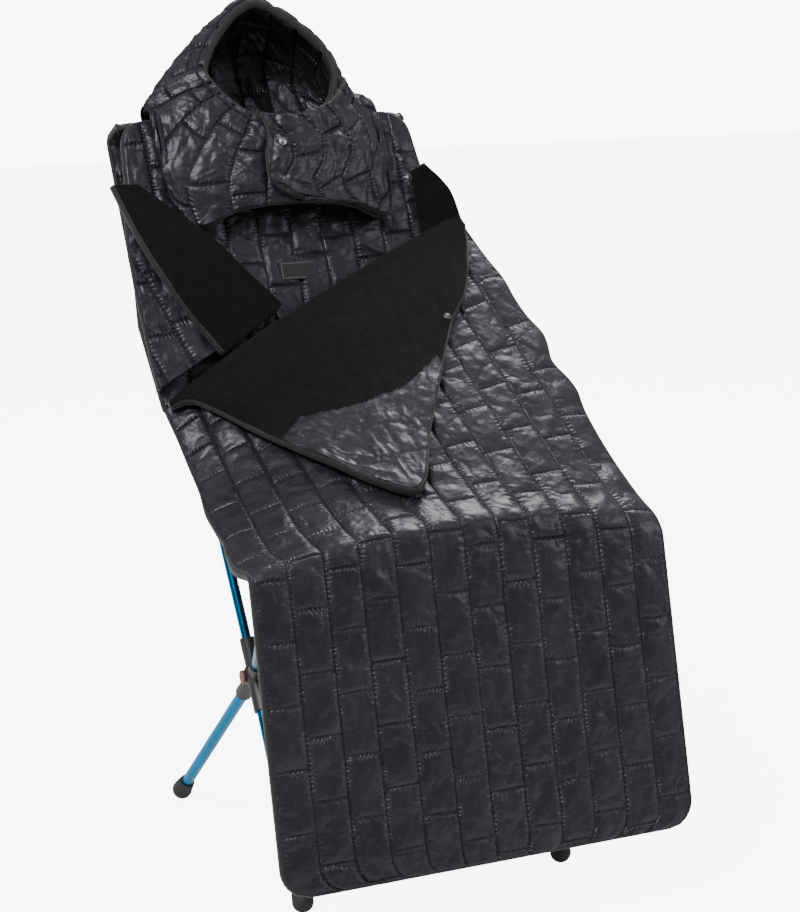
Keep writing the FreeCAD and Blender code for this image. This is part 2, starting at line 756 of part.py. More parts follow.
def makeFlap():
    """The right front edge turned down over the cover: quilt below, fleece and facing on top."""
    shares = [0, 0.25, 0.5, 0.75, 1]
    rows = [[coverAt(across, down * share) for across, down in flapEdge] for share in shares]
    normals = [[coverFacing(across, down * share) for across, down in flapEdge] for share in shares]
    under = "sizes.flapGap + sizes.lapelQuilt"
    draped("front_flap", rows, "lapelQuilt", value(under), normals, facetedSheet)
    draped("front_flap_fleece", rows, "fleece",
           value(under + " + sizes.faceGap + sizes.fleece"), normals, facetedSheet)


def kneePlane():
    return lean("sizes.kneeY", "sizes.kneeZ", "sizes.splay")


def makeLegPanel():
    body = slab("leg_panel", kneeOutline("sizes.binding"), "0", "sizes.panelThickness",
                kneePlane(), isHem, "sizes.cornerRadius - sizes.binding")
    keep("leg_panel", body)
    bindingRim("leg_binding", kneeOutline, "sizes.panelThickness", kneePlane(), isHem)


# ---------------------------------------------------------------- hood

# The cape's outer face from its top edge to its hem: the drop and the extra reach forward at the
# sides, then the same at the middle.
capeRows = [(4, 0, 32, 46), (40, 0, 62, 48), (92, 0, 104, 40), (146, 0, 146, 28)]


def capePoint(across, row):
    sideDrop, sideForward, middleDrop, middleForward = row
    bulge = 1 - across * across
    taper = size("capeTaper") * max(0, 1 - sideDrop / size("capeShoulder"))
    width = size("capeX") * (1 - taper)
    reach = size("capeGap") + size("capeThickness")
    return onBack(across * width, sideDrop + (middleDrop - sideDrop) * bulge,
                  sideForward + reach + (middleForward - sideForward) * bulge)


def capeGrid(start, end, count):
    steps = [start + (end - start) * i / (count - 1) for i in range(count)]
    return [[capePoint(u, row) for u in steps] for row in capeRows]


def capeAt(across, drop):
    """The cape's outer face at a drop measured down its side."""
    step = next((i for i in range(1, len(capeRows) - 1) if capeRows[i][0] >= drop), len(capeRows) - 1)
    low, high = capeRows[step - 1], capeRows[step]
    share = (drop - low[0]) / (high[0] - low[0])
    return capePoint(across, [a + (b - a) * share for a, b in zip(low, high)])


def capeSpot(across, drop):
    """A place on the cape and its outward direction."""
    sideways = capeAt(across + 0.06, drop) - capeAt(across - 0.06, drop)
    downwards = capeAt(across, drop + 10) - capeAt(across, drop - 10)
    return capeAt(across, drop), downwards.cross(sideways).normalize()


# Where the hood's two press studs close: share across the cape and drop down it.
hoodSnaps = [(-0.07, 64), (-0.1, 118)]


def makeHood():
    """A round-topped hood, open in front, whose cape hangs over the back's upper edge."""
    shapes = []
    for name, inset in (("Outer", "0"), ("Inner", "sizes.hoodThickness")):
        dome = doc.addObject("Part::Ellipsoid", name + "_hood")
        dome.setExpression("Radius1", f"sizes.hoodDepth - {inset}")
        dome.setExpression("Radius2", f"sizes.hoodX - {inset}")
        dome.setExpression("Radius3", f"sizes.hoodHeight - {inset}")
        dome.Angle1 = 0 if name == "Outer" else -90
        dome.Angle2 = 90
        dome.Placement = backPlane().multiply(Placement(
            Vector(0, -size("hoodForward"), size("hoodRise")), Rotation(Vector(1, 0, 0), -90)))
        shapes.append(dome)
    bowl = doc.addObject("Part::Cut", "Bowl_hood")
    bowl.Base, bowl.Tool = shapes
    below = doc.addObject("Part::Box", "Below_hood")
    below.setExpression("Length", "4 * sizes.hoodX")
    below.setExpression("Width", "4 * sizes.hoodDepth")
    below.setExpression("Height", "2 * sizes.hoodHeight")
    below.Placement = backPlane().multiply(Placement(
        Vector(-2 * size("hoodX"), -2 * size("hoodDepth"), size("hoodLift") - 2 * size("hoodHeight")),
        Rotation()))
    dome = doc.addObject("Part::Cut", "Dome_hood")
    dome.Base = bowl
    dome.Tool = below
    keep("hood_crown", dome)
    draped("hood_cape", capeGrid(-1, 1, 9), "capeThickness")
    gap = "sizes.snapHeight + 2 * sizes.snapGap"
    lift = value(gap + " + sizes.capeThickness")
    draped("hood_flap", capeGrid(-0.2, 0.92, 6), "capeThickness", lift)
    studs = []
    for number, (across, drop) in enumerate(hoodSnaps):
        spot, out = capeSpot(across, drop)
        aim = Rotation(Vector(0, 0, 1), out)
        studs.append(cylinder(f"Stud_{number}", "sizes.postRadius * 2", "sizes.snapHeight",
                              Placement(spot + out * size("snapGap"), aim)))
        cap = cylinder(f"Cap_{number}", "sizes.snapRadius", "sizes.snapHeight",
                       Placement(spot + out * (lift + size("snapGap")), aim))
        keep(f"hood_snap_{('upper', 'lower')[number]}", cap)
    group = doc.addObject("Part::Compound", "Hood_studs")
    group.Links = studs
    keep("hood_snap_studs", group)


def button(node, spot, out, lift):
    """A press stud's round cap lying on the cloth."""
    placement = Placement(spot + out * lift, Rotation(Vector(0, 0, 1), out))
    keep(node, cylinder("Snap_" + node, "sizes.snapRadius", "sizes.snapHeight", placement))


def makeSnaps():
    forward = backPlane().Rotation.multVec(Vector(0, -1, 0))
    for side, sign in (("left", -1), ("right", 1)):
        spot = onBack(sign * (size("backTopX") - 26), size("snapDrop"), 0)
        button(f"back_snap_{side}", spot, forward, 0.2)
    under = value("sizes.flapGap + sizes.lapelQuilt + sizes.faceGap + sizes.fleece")
    edge = coverAt(0.8, 0.12)
    nearby = facing([[coverAt(0.8 + i * 0.05, 0.12 + j * 0.05) for i in (-1, 0, 1)]
                     for j in (-1, 0, 1)], 1, 1)
    button("flap_snap", edge, nearby, under + size("snapGap"))


makeFrame()
makeBackLayer()
makeCover()
makeLeftWing()
makeLapel()
makeRightWing()
makeRightSide()
makeFlap()
makeLegPanel()
makeHood()
makeSnaps()

# ---------------------------------------------------------------- check and write

doc.recompute()
for item in doc.Objects:
    if any(word in item.State for word in ("Invalid", "Error")):
        raise ValueError(f"{item.Name} did not rebuild: {item.State}")
os.makedirs("parts", exist_ok=True)
for piece in parts:
    shape = piece.Shape
    if shape.isNull() or not shape.isValid() or shape.Volume <= 0:
        raise ValueError(f"{piece.Label} has no sound shape")
    shape.exportStep(f"parts/{piece.Label}.step")
box = FreeCAD.BoundBox()
for piece in parts:
    box.add(piece.Shape.BoundBox)
print(f"{len(parts)} parts, box {box}")
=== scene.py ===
import json
import math
import bpy
import numpy as np
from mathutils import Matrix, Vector


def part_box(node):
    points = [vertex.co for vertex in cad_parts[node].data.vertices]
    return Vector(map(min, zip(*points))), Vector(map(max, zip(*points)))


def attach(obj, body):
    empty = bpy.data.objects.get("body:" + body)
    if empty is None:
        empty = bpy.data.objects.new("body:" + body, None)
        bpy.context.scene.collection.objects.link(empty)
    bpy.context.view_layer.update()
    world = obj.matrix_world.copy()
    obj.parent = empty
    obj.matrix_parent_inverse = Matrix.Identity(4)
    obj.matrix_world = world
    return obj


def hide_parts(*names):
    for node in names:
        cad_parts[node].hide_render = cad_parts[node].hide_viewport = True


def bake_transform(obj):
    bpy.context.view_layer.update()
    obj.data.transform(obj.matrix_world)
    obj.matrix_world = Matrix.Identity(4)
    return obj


# A quilted, hooded wrap blanket on its folding chair. Metres; the chair faces -Y.
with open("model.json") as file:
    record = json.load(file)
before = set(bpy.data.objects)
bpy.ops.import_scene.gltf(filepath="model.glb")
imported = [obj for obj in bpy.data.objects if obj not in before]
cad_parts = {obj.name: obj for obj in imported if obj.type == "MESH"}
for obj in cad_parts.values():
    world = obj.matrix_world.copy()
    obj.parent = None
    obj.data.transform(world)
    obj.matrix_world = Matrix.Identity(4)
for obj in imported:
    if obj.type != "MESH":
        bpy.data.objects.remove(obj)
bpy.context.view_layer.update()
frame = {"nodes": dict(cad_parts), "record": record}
nodes = frame["nodes"]
print("frame loaded")

mm = 0.001
backLean = math.radians(28.3)
backThickness = 0.011
kneeFromBack = (0, -0.644, -0.502)
panelLean = math.radians(14.3)  # the leg panel's hem stands forward of the knee
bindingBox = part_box("back_binding")
# The middle of the back layer's top edge, on its front face.
backTop = np.array([0, bindingBox[1].y - backThickness * math.cos(backLean), bindingBox[1].z])
backUp = np.array([0, math.sin(backLean), math.cos(backLean)])
backOut = np.array([0, -math.cos(backLean), math.sin(backLean)])
knee = backTop + np.array(kneeFromBack)


# points, curves and grids

def byBack(spots):  # (across, up the slope, forward) in mm to the frame
    spots = np.asarray(spots, float) * mm
    return (backTop + spots[..., :1] * np.array([1, 0, 0]) + spots[..., 1:2] * backUp
            + spots[..., 2:3] * backOut)


def through(a, b, c, d, r):
    # share r of the way from b to c, on a curve that also knows its neighbours
    return (b + (c - a) * (0.5 * r) + (2 * a - 5 * b + 4 * c - d) * (0.5 * r ** 2)
            + (3 * b - a - 3 * c + d) * (0.5 * r ** 3))


def smooth(points, t):
    # a curve through rows of points, at shares t of the way along
    points = np.asarray(points, float)
    last = len(points) - 1
    place = np.clip(t, 0, 1) * last
    i = np.minimum(place.astype(int), last - 1)
    r = (place - i).reshape(place.shape + (1,) * (points.ndim - 1))
    before, after = points[np.maximum(i - 1, 0)], points[np.minimum(i + 2, last)]
    return through(before, points[i], points[i + 1], after, r)


def gridOf(control, rows, columns):
    # a fine grid through a coarse one
    down = smooth(control, np.linspace(0, 1, rows))
    across = smooth(np.swapaxes(down, 0, 1), np.linspace(0, 1, columns))
    return np.swapaxes(across, 0, 1)


def byTable(x, pairs, **ends):
    return np.interp(x, *zip(*pairs), **ends)


def unit(vectors):
    return vectors / np.maximum(np.linalg.norm(vectors, axis=-1, keepdims=True), 1e-9)


def facing(grid, wrap=False):
    # outward directions of a grid whose rows run down and whose columns run left to right
    down = np.gradient(grid, axis=0)
    if wrap:
        across = np.roll(grid, -1, axis=1) - np.roll(grid, 1, axis=1)
    else:
        across = np.gradient(grid, axis=1)
    return unit(np.cross(down, across))


def strides(grid, axis=0):
    return np.linalg.norm(np.diff(grid, axis=axis), axis=-1)


def apart(line, least):
    # leaves out points that lie closer than least to the one before
    return np.concatenate([[True], strides(line) > least])


def relax(line, times):
    for _ in range(times):
        line[1:-1] = line[1:-1] * 0.5 + (line[2:] + line[:-2]) * 0.25


def reach(grid, axis):
    # distance along the grid, from its middle column or from its first row
    total = np.cumsum(strides(grid, axis), axis=axis)
    pad = [(1, 0), (0, 0)] if axis == 0 else [(0, 0), (1, 0)]
    total = np.pad(total, pad)
    if axis == 1:
        total = total - total[:, total.shape[1] // 2][:, None]
    return total


mixing = (127.1, 311.7, 74.7, 43758.5453)  # any large uneven numbers do


def noise(x, y, seed):
    # smooth value noise, one unit to a cell
    i, j = np.floor(x), np.floor(y)
    u, v = x - i, y - j
    u, v = u * u * (3 - 2 * u), v * v * (3 - 2 * v)

    def corner(a, b):
        wave = np.sin(a * mixing[0] + b * mixing[1] + seed * mixing[2]) * mixing[3]
        return wave - np.floor(wave)

    low = corner(i, j) * (1 - u) + corner(i + 1, j) * u
    high = corner(i, j + 1) * (1 - u) + corner(i + 1, j + 1) * u
    return low * (1 - v) + high * v


def crumple(x, y, size, seed):
    # sharp creases between soft swells, 0 to 1
    total = 0
    weight = 0
    for octave in range(3):
        scale = 2 ** octave / size
        turn = 0.6 + octave
        a = x * math.cos(turn) + y * math.sin(turn)
        b = y * math.cos(turn) - x * math.sin(turn)
        swell = noise(a * scale * 0.55, b * scale * 1.25, seed + octave)
        total = total + (1 - np.abs(2 * swell - 1)) ** 1.6 * 0.55 ** octave
        weight += 0.55 ** octave
    return total / weight


# quilting

quilting = {"channel": 0.0483, "cross": 0.078, "stagger": 0.42, "uneven": 0.34, "wobble": 0.02,
            "puff": 0.0034, "groove": 0.0045, "pucker": 0.0011, "puckerLength": 0.0085,
            "channelReach": 0.006, "crossReach": 0.007, "crease": 0.0030, "longCrease": 0.050,
            "shortCrease": 0.030, "seamWidth": 0.0013, "stitch": 0.0032, "tick": 0.0060}


def quilted(across, down, seed=0, puff=1.0, crease=1.0):
    # height of a stitched and filled face, and its place in the stitched pattern
    q = quilting
    column = np.floor(across / q["channel"])
    inColumn = across / q["channel"] - column
    toChannel = np.minimum(inColumn, 1 - inColumn) * q["channel"]
    stagger = np.where(column % 2 == 0, 0.0, q["stagger"])
    stagger = stagger + q["uneven"] * noise(column * 1.7, column * 0, seed + 3)
    inCross = down / q["cross"] + stagger + q["wobble"] * noise(across / 0.02, down / 0.02, seed + 4)
    cell = np.floor(inCross)
    inCross = inCross - cell
    toCross = np.minimum(inCross, 1 - inCross) * q["cross"]
    rise = 1 - np.exp(-toChannel / q["groove"])
    crossRise = 1 - 0.75 * np.exp(-toCross / (q["groove"] * 0.7))
    fill = 0.75 + 0.5 * noise(column * 3.1 + 0.5, cell * 2.3 + 0.5, seed + 5)
    height = q["puff"] * puff * rise * crossRise * fill
    # short puckers pulled by the thread, uneven along each seam
    wander = 9.0 * noise(across / 0.022, down / 0.022, seed + 7)
    ridges = np.sin(2 * math.pi * down / q["puckerLength"] + column * 2.1 + wander)
    crossRidges = np.sin(2 * math.pi * across / (q["puckerLength"] * 0.8) + cell * 1.7 + wander)
    fade = np.exp(-toChannel / q["channelReach"]) * np.minimum(toChannel / 0.002, 1)
    crossFade = np.exp(-toCross / q["crossReach"]) * np.minimum(toCross / 0.002, 1) * rise
    loose = noise(across / 0.035, down / 0.035, seed + 11) ** 2 * 1.9
    height = height + q["pucker"] * puff * loose * (ridges * fade + crossRidges * crossFade)
    # creases: long ones over everything, short ones that stop at the seams
    folds = crumple(across, down, q["longCrease"], seed + 20) - 0.5
    own = crumple(across + column * 0.31, down + cell * 0.17, q["shortCrease"], seed + 31) - 0.5
    height = height + q["crease"] * crease * (0.55 * folds + 0.55 * own * rise * crossRise)
    place = np.stack([across / q["channel"] + 0 * down, inCross + cell, down + 0 * across], -1)
    return height, place


def quiltOver(grid, seed, puff, crease):
    out = facing(grid)
    across, down = reach(grid, 1), reach(grid, 0)
    return (out, across, down, *quilted(across, down, seed, puff, crease))


def fleecy(across, down, seed=0):
    # height of a brushed, soft face: long slack swells
    return 0.003 * (noise(across / 0.09, down / 0.07, seed) - 0.5)


# meshes


def newMesh(name, points, faces, materials, indices=None, place=None):
    mesh = bpy.data.meshes.new(name)
    mesh.from_pydata([tuple(p) for p in points], [], [tuple(f) for f in faces])
    for material in materials:
        mesh.materials.append(material)
    if indices is not None:
        mesh.polygons.foreach_set("material_index", np.asarray(indices, np.int32))
    mesh.polygons.foreach_set("use_smooth", np.ones(len(mesh.polygons), bool))
    if place is not None:
        layer = mesh.attributes.new("quilt", "FLOAT_VECTOR", "POINT")
        layer.data.foreach_set("vector", np.asarray(place, np.float32).ravel())
    mesh.update()
    piece = bpy.data.objects.new(name, mesh)
    bpy.context.scene.collection.objects.link(piece)
    return piece


def quads(rows, columns, start, flip=False, wrap=False):
    i, j = np.meshgrid(np.arange(rows - 1), np.arange(columns if wrap else columns - 1), indexing="ij")
    k = (j + 1) % columns
    corners = [i * columns + j, (i + 1) * columns + j, (i + 1) * columns + k, i * columns + k]
    if flip:
        corners = corners[::-1]
    return np.stack([c.ravel() + start for c in corners], axis=1)


def closedSheet(name, outer, inner, materials, place=None, placeInner=None, split=None, wrap=False):
    # one closed skin round two grids: outer and inner faces and the edge between them
    rows, columns = outer.shape[:2]
    count = rows * columns
    faces = [quads(rows, columns, 0, wrap=wrap), quads(rows, columns, count, flip=True, wrap=wrap)]
    where = [np.zeros(len(faces[0]), int), np.full(len(faces[1]), min(1, len(materials) - 1))]
    if split is not None:
        where[0] = split.ravel().astype(int)
    last = (rows - 1) * columns
    width = columns if wrap else columns - 1
    j = np.arange(width)
    k = (j + 1) % columns
    rim = [np.stack([j, k, k + count, j + count], 1),
           np.stack([last + k, last + j, last + j + count, last + k + count], 1)]
    if not wrap:
        i = np.arange(rows - 1) * columns
        rim.append(np.stack([i + columns, i, i + count, i + columns + count], 1))
        end = i + columns - 1
        rim.append(np.stack([end, end + columns, end + columns + count, end + count], 1))
    faces += rim
    where += [np.zeros(len(part), int) for part in rim]
    plain = np.full((rows, columns, 3), 0.5)
    place = plain if place is None else place
    placeInner = plain if placeInner is None else placeInner
    points = np.concatenate([outer.reshape(-1, 3), inner.reshape(-1, 3)])
    return newMesh(name, points, np.concatenate(faces), materials, np.concatenate(where),
                   np.concatenate([place.reshape(-1, 3), placeInner.reshape(-1, 3)]))


def ringFaces(count, sides, closed=False):
    # the skin over rings of points, with flat ends unless it closes on itself
    faces = []
    for i in range(count if closed else count - 1):
        a, b = i * sides, (i + 1) % count * sides
        for s in range(sides):
            k = (s + 1) % sides
            faces.append((a + s, a + k, b + k, b + s))
    if not closed:
        faces.append(tuple(range(sides))[::-1])
        faces.append(tuple(range((count - 1) * sides, count * sides)))
    return faces


def sweep(name, path, normals, wide, thick, material, closed=False, sides=10):
    # an oval tape or cord along a path; wide lies across the normals
    path, normals = np.asarray(path, float), np.asarray(normals, float)
    if closed:
        along = unit(np.roll(path, -1, axis=0) - np.roll(path, 1, axis=0))
    else:
        along = unit(np.gradient(path, axis=0))
    out = unit(normals - along * np.sum(normals * along, axis=1, keepdims=True))
    side = np.cross(along, out)
    turn = np.linspace(0, 2 * math.pi, sides, endpoint=False)
    ring = (path[:, None] + side[:, None] * (np.cos(turn) * wide / 2)[None, :, None]
            + out[:, None] * (np.sin(turn) * thick / 2)[None, :, None])
    return newMesh(name, ring.reshape(-1, 3), ringFaces(len(path), sides, closed), [material])


def turnedPiece(name, spot, out, profile, material, sides=32):
    # a small round piece: (radius, height) pairs turned about its outward direction
    out = Vector(out).normalized()
    aim = out.to_track_quat("Z", "Y").to_matrix()
    points = []
    for radius, height in profile:
        for s in range(sides):
            angle = 2 * math.pi * s / sides
            local = Vector((radius * math.cos(angle), radius * math.sin(angle), height))
            points.append(tuple(Vector(spot) + aim @ local))
    return newMesh(name, points, ringFaces(len(profile), sides), [material])


def settle(piece, body, slotName, *replaced, fill=None):
    if replaced:
        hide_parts(*replaced)
    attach(piece, body)


def bind(name, line, out, wide, thick, body, *replaced, closed=False):
    settle(sweep(name, line, out, wide, thick, tape, closed), body, "binding_tape", *replaced)


# materials

def nodeMaterial(name, settings):
    material = bpy.data.materials.new(name)
    material.use_nodes = True
    tree = material.node_tree
    shader = tree.nodes["Principled BSDF"]
    for socket, value in settings.items():
        shader.inputs[socket].default_value = value
    place = newNode(tree, "TexCoord")
    return material, tree, shader, place.outputs["Object"]


def newNode(tree, kind):
    return tree.nodes.new("ShaderNode" + kind)


def noiseNode(tree, place, scale, detail=3.0, rough=0.55, stretch=None):
    texture = newNode(tree, "TexNoise")
    texture.inputs["Scale"].default_value = scale
    texture.inputs["Detail"].default_value = detail
    texture.inputs["Roughness"].default_value = rough
    source = place
    if stretch:
        mapping = newNode(tree, "Mapping")
        mapping.inputs["Scale"].default_value = stretch
        tree.links.new(place, mapping.inputs["Vector"])
        source = mapping.outputs["Vector"]
    tree.links.new(source, texture.inputs["Vector"])
    return texture.outputs["Fac"]


def ramp(tree, source, low, high, start=0.3, end=0.7):
    node = newNode(tree, "ValToRGB")
    node.color_ramp.elements[0].position = start
    node.color_ramp.elements[1].position = end
    node.color_ramp.elements[0].color = (*low, 1)
    node.color_ramp.elements[1].color = (*high, 1)
    tree.links.new(source, node.inputs["Fac"])
    return node.outputs["Color"]


def mathNode(tree, operation, *values):
    node = newNode(tree, "Math")
    node.operation = operation
    for socket, value in zip(node.inputs, values):
        if isinstance(value, (int, float)):
            socket.default_value = value
        else:
            tree.links.new(value, socket)
    return node.outputs[0]


def fadeNode(tree, source, near, far, start=1.0, end=0.0):
    # start at near, end at far
    node = newNode(tree, "MapRange")
    for socket, value in zip(("From Min", "From Max", "To Min", "To Max"), (near, far, start, end)):
        node.inputs[socket].default_value = value
    tree.links.new(source, node.inputs["Value"])
    return node.outputs["Result"]


def spreadValue(tree, source, low, high):
    return fadeNode(tree, source, 0.0, 1.0, low, high)


def tint(tone, share):
    return tuple(min(1, share * c) for c in tone)


def bumpChain(tree, shader, heights):
    # (height, distance, strength) from the coarsest to the finest
    normal = None
    for source, distance, strength in heights:
        bump = newNode(tree, "Bump")
        bump.inputs["Distance"].default_value = distance
        bump.inputs["Strength"].default_value = strength
        tree.links.new(source, bump.inputs["Height"])
        if normal:
            tree.links.new(normal, bump.inputs["Normal"])
        normal = bump.outputs["Normal"]
    tree.links.new(normal, shader.inputs["Normal"])


def mixColor(tree, share, a, b):
    node = newNode(tree, "Mix")
    node.data_type = "RGBA"
    tree.links.new(share, node.inputs["Factor"])
    for socket, value in ((6, a), (7, b)):
        if isinstance(value, tuple):
            node.inputs[socket].default_value = (*value, 1)
        else:
            tree.links.new(value, node.inputs[socket])
    return node.outputs[2]


def weaveNode(tree, place, pitch):
    # crossed threads
    total = None
    for axis in ("X", "Z"):
        wave = newNode(tree, "TexWave")
        wave.bands_direction = axis
        wave.inputs["Scale"].default_value = 0.314 / pitch
        wave.inputs["Distortion"].default_value = 0.4
        tree.links.new(place, wave.inputs["Vector"])
        thread = wave.outputs["Fac"]
        total = thread if total is None else mathNode(tree, "MULTIPLY", total, thread)
    return total


def dress(tree, shader, color, gloss, heights):
    tree.links.new(color, shader.inputs["Base Color"])
    tree.links.new(gloss, shader.inputs["Roughness"])
    bumpChain(tree, shader, heights)


def quiltNylon(name, tone):
    q = quilting
    settings = {"Sheen Weight": 0.04, "Sheen Roughness": 0.4, "Specular IOR Level": 0.40,
                "Specular Tint": (0.86, 0.84, 1.0, 1)}
    material, tree, shader, place = nodeMaterial(name, settings)
    pattern = newNode(tree, "Attribute")
    pattern.attribute_name = "quilt"
    split = newNode(tree, "SeparateXYZ")
    tree.links.new(pattern.outputs["Vector"], split.inputs[0])
    across = mathNode(tree, "MULTIPLY", split.outputs["X"], q["channel"])
    down = split.outputs["Z"]
    toChannel, toCross = (
        mathNode(tree, "MULTIPLY", mathNode(tree, "PINGPONG", split.outputs[axis], 0.5), pitch)
        for axis, pitch in (("X", q["channel"]), ("Y", q["cross"])))
    nearest = mathNode(tree, "MINIMUM", toChannel, toCross)
    # dotted seam line: painted shade of the stitched groove, which also roughens the seam
    line = fadeNode(tree, nearest, q["seamWidth"] * 0.4, q["seamWidth"])
    turn = mathNode(tree, "MULTIPLY", mathNode(tree, "ADD", across, down), 2 * math.pi / q["stitch"])
    dots = fadeNode(tree, mathNode(tree, "SINE", turn), -1, 1, 0.55, 1.0)
    seamShade = mathNode(tree, "MULTIPLY", line, dots)
    cloud = noiseNode(tree, place, 9, 4)
    color = ramp(tree, cloud, tint(tone, 0.6), tint(tone, 1.25))
    # painted shade: the seam mask tints the colour near black along the stitched grooves
    color = mixColor(tree, seamShade, color, tint(tone, 0.12))
    gloss = mathNode(tree, "MAXIMUM", spreadValue(tree, noiseNode(tree, place, 30, 4), 0.32, 0.50), seamShade)
    # puckers across each seam
    wander = mathNode(tree, "MULTIPLY", noiseNode(tree, place, 48, 3), 14)
    ticks = None
    for along, away in ((down, toChannel), (across, toCross)):
        turn = mathNode(tree, "ADD", mathNode(tree, "MULTIPLY", along, 2 * math.pi / q["tick"]), wander)
        near = fadeNode(tree, away, 0.0005, 0.009)
        one = mathNode(tree, "MULTIPLY", mathNode(tree, "SINE", turn), near)
        ticks = one if ticks is None else mathNode(tree, "ADD", ticks, one)
    patchy = fadeNode(tree, noiseNode(tree, place, 22, 3), 0.42, 0.62, 0.0, 1.0)
    ticks = mathNode(tree, "MULTIPLY", ticks, patchy)
    groove = fadeNode(tree, nearest, 0.0, 0.0026, 0.0, 1.0)
    # folded lines where the cloth has been crushed
    creased, crushed = (
        mathNode(tree, "ABSOLUTE",
                 mathNode(tree, "SUBTRACT", noiseNode(tree, place, scale, 2, 0.5), 0.5))
        for scale in (13, 40))
    crinkle = noiseNode(tree, place, 130, 4, 0.6)
    dress(tree, shader, color, gloss,
          [(creased, 0.024, 0.55), (crushed, 0.0080, 0.42), (groove, 0.0020, 0.8),
           (ticks, 0.0010, 0.75), (crinkle, 0.0007, 0.35),
           (weaveNode(tree, place, 0.0009), 0.00008, 0.35)])
    return material


def pileFleece(name, tone):
    settings = {"Roughness": 0.95, "Sheen Weight": 0.10, "Sheen Roughness": 0.55,
                "Specular IOR Level": 0.08, "Sheen Tint": (0.5, 0.5, 0.52, 1)}
    material, tree, shader, place = nodeMaterial(name, settings)
    nap = noiseNode(tree, place, 60, 5, 0.7)
    tree.links.new(ramp(tree, nap, tint(tone, 0.6), tint(tone, 1.5)),
                   shader.inputs["Base Color"])
    fuzz = noiseNode(tree, place, 900, 4, 0.75)
    clumps = noiseNode(tree, place, 210, 3, 0.6)
    bumpChain(tree, shader, [(clumps, 0.0012, 0.5), (fuzz, 0.0006, 0.8)])
    return material


def wovenCloth(name, tone, pitch, rough=0.8, depth=0.0003):
    settings = {"Sheen Weight": 0.15, "Specular IOR Level": 0.3}
    material, tree, shader, place = nodeMaterial(name, settings)
    cloud = noiseNode(tree, place, 25, 4)
    threads = weaveNode(tree, place, pitch)
    color = ramp(tree, cloud, tint(tone, 0.8), tint(tone, 1.2))
    color = mixColor(tree, threads, tint(tone, 0.55), color)
    dress(tree, shader, color, spreadValue(tree, cloud, rough - 0.08, rough + 0.08),
          [(noiseNode(tree, place, 300, 3), 0.0004, 0.3), (threads, depth, 0.9)])
    return material


def anodised(name, tone):
    settings = {"Metallic": 1.0, "Specular IOR Level": 0.5}
    material, tree, shader, place = nodeMaterial(name, settings)
    streaks = noiseNode(tree, place, 60, 4, 0.6, (1, 1, 0.03))
    color = ramp(tree, streaks, tint(tone, 0.86), tint(tone, 1.1))
    dress(tree, shader, color, spreadValue(tree, streaks, 0.24, 0.36),
          [(streaks, 0.0002, 0.2), (noiseNode(tree, place, 1400, 2), 0.00004, 0.3)])
    return material


def moulded(name, tone, rough, grain, depth):
    material, tree, shader, place = nodeMaterial(name, {"Specular IOR Level": 0.45})
    worn = noiseNode(tree, place, 45, 5)
    color = ramp(tree, worn, tint(tone, 0.8), tint(tone, 1.35))
    dress(tree, shader, color, spreadValue(tree, worn, rough - 0.1, rough + 0.1),
          [(noiseNode(tree, place, grain, 3), depth, 0.5)])
    return material


def snapMetal(name, tone):
    settings = {"Metallic": 0.9, "Specular IOR Level": 0.6}
    material, tree, shader, place = nodeMaterial(name, settings)
    rubbed = noiseNode(tree, place, 300, 4)
    dress(tree, shader, ramp(tree, rubbed, tone, tint(tone, 2.2)), spreadValue(tree, rubbed, 0.2, 0.4),
          [(noiseNode(tree, place, 900, 2), 0.0001, 0.3)])
    return material


nylon = quiltNylon("charcoal quilted nylon", (0.0090, 0.0086, 0.0108))
lining = quiltNylon("charcoal lining nylon", (0.0075, 0.0073, 0.0086))
fleece = pileFleece("black brushed fleece", (0.0030, 0.0030, 0.0032))
tape = wovenCloth("binding tape", (0.0085, 0.0085, 0.0100), 0.0011, 0.62)
slingCloth = wovenCloth("sling cloth", (0.022, 0.022, 0.024), 0.0014, 0.75)
patchCloth = wovenCloth("woven patch", (0.010, 0.010, 0.011), 0.0007, 0.7)
threadCloth = wovenCloth("patch border thread", (0.20, 0.20, 0.21), 0.0006, 0.7)
blueTube = anodised("blue anodised tube", (0.000, 0.16, 0.33))
plainMetal = anodised("plain tube metal", (0.62, 0.63, 0.65))
resin = moulded("black hub resin", (0.018, 0.018, 0.019), 0.45, 700, 0.00015)
pinResin = moulded("brown pin resin", (0.12, 0.035, 0.022), 0.4, 700, 0.0001)
footRubber = moulded("foot rubber", (0.014, 0.014, 0.015), 0.72, 420, 0.0003)
shockCord = wovenCloth("shock cord", (0.04, 0.04, 0.042), 0.0008, 0.7)
snapFinish = snapMetal("dark press stud", (0.055, 0.055, 0.06))
# a lighter copy of the press stud finish: painted highlight for the snaps that catch the light
snapPaintedHighlight = snapMetal("press stud painted highlight", (0.16, 0.16, 0.17))
print("materials made")


# front cover and leg panel, one quilted layer that bends over the knee

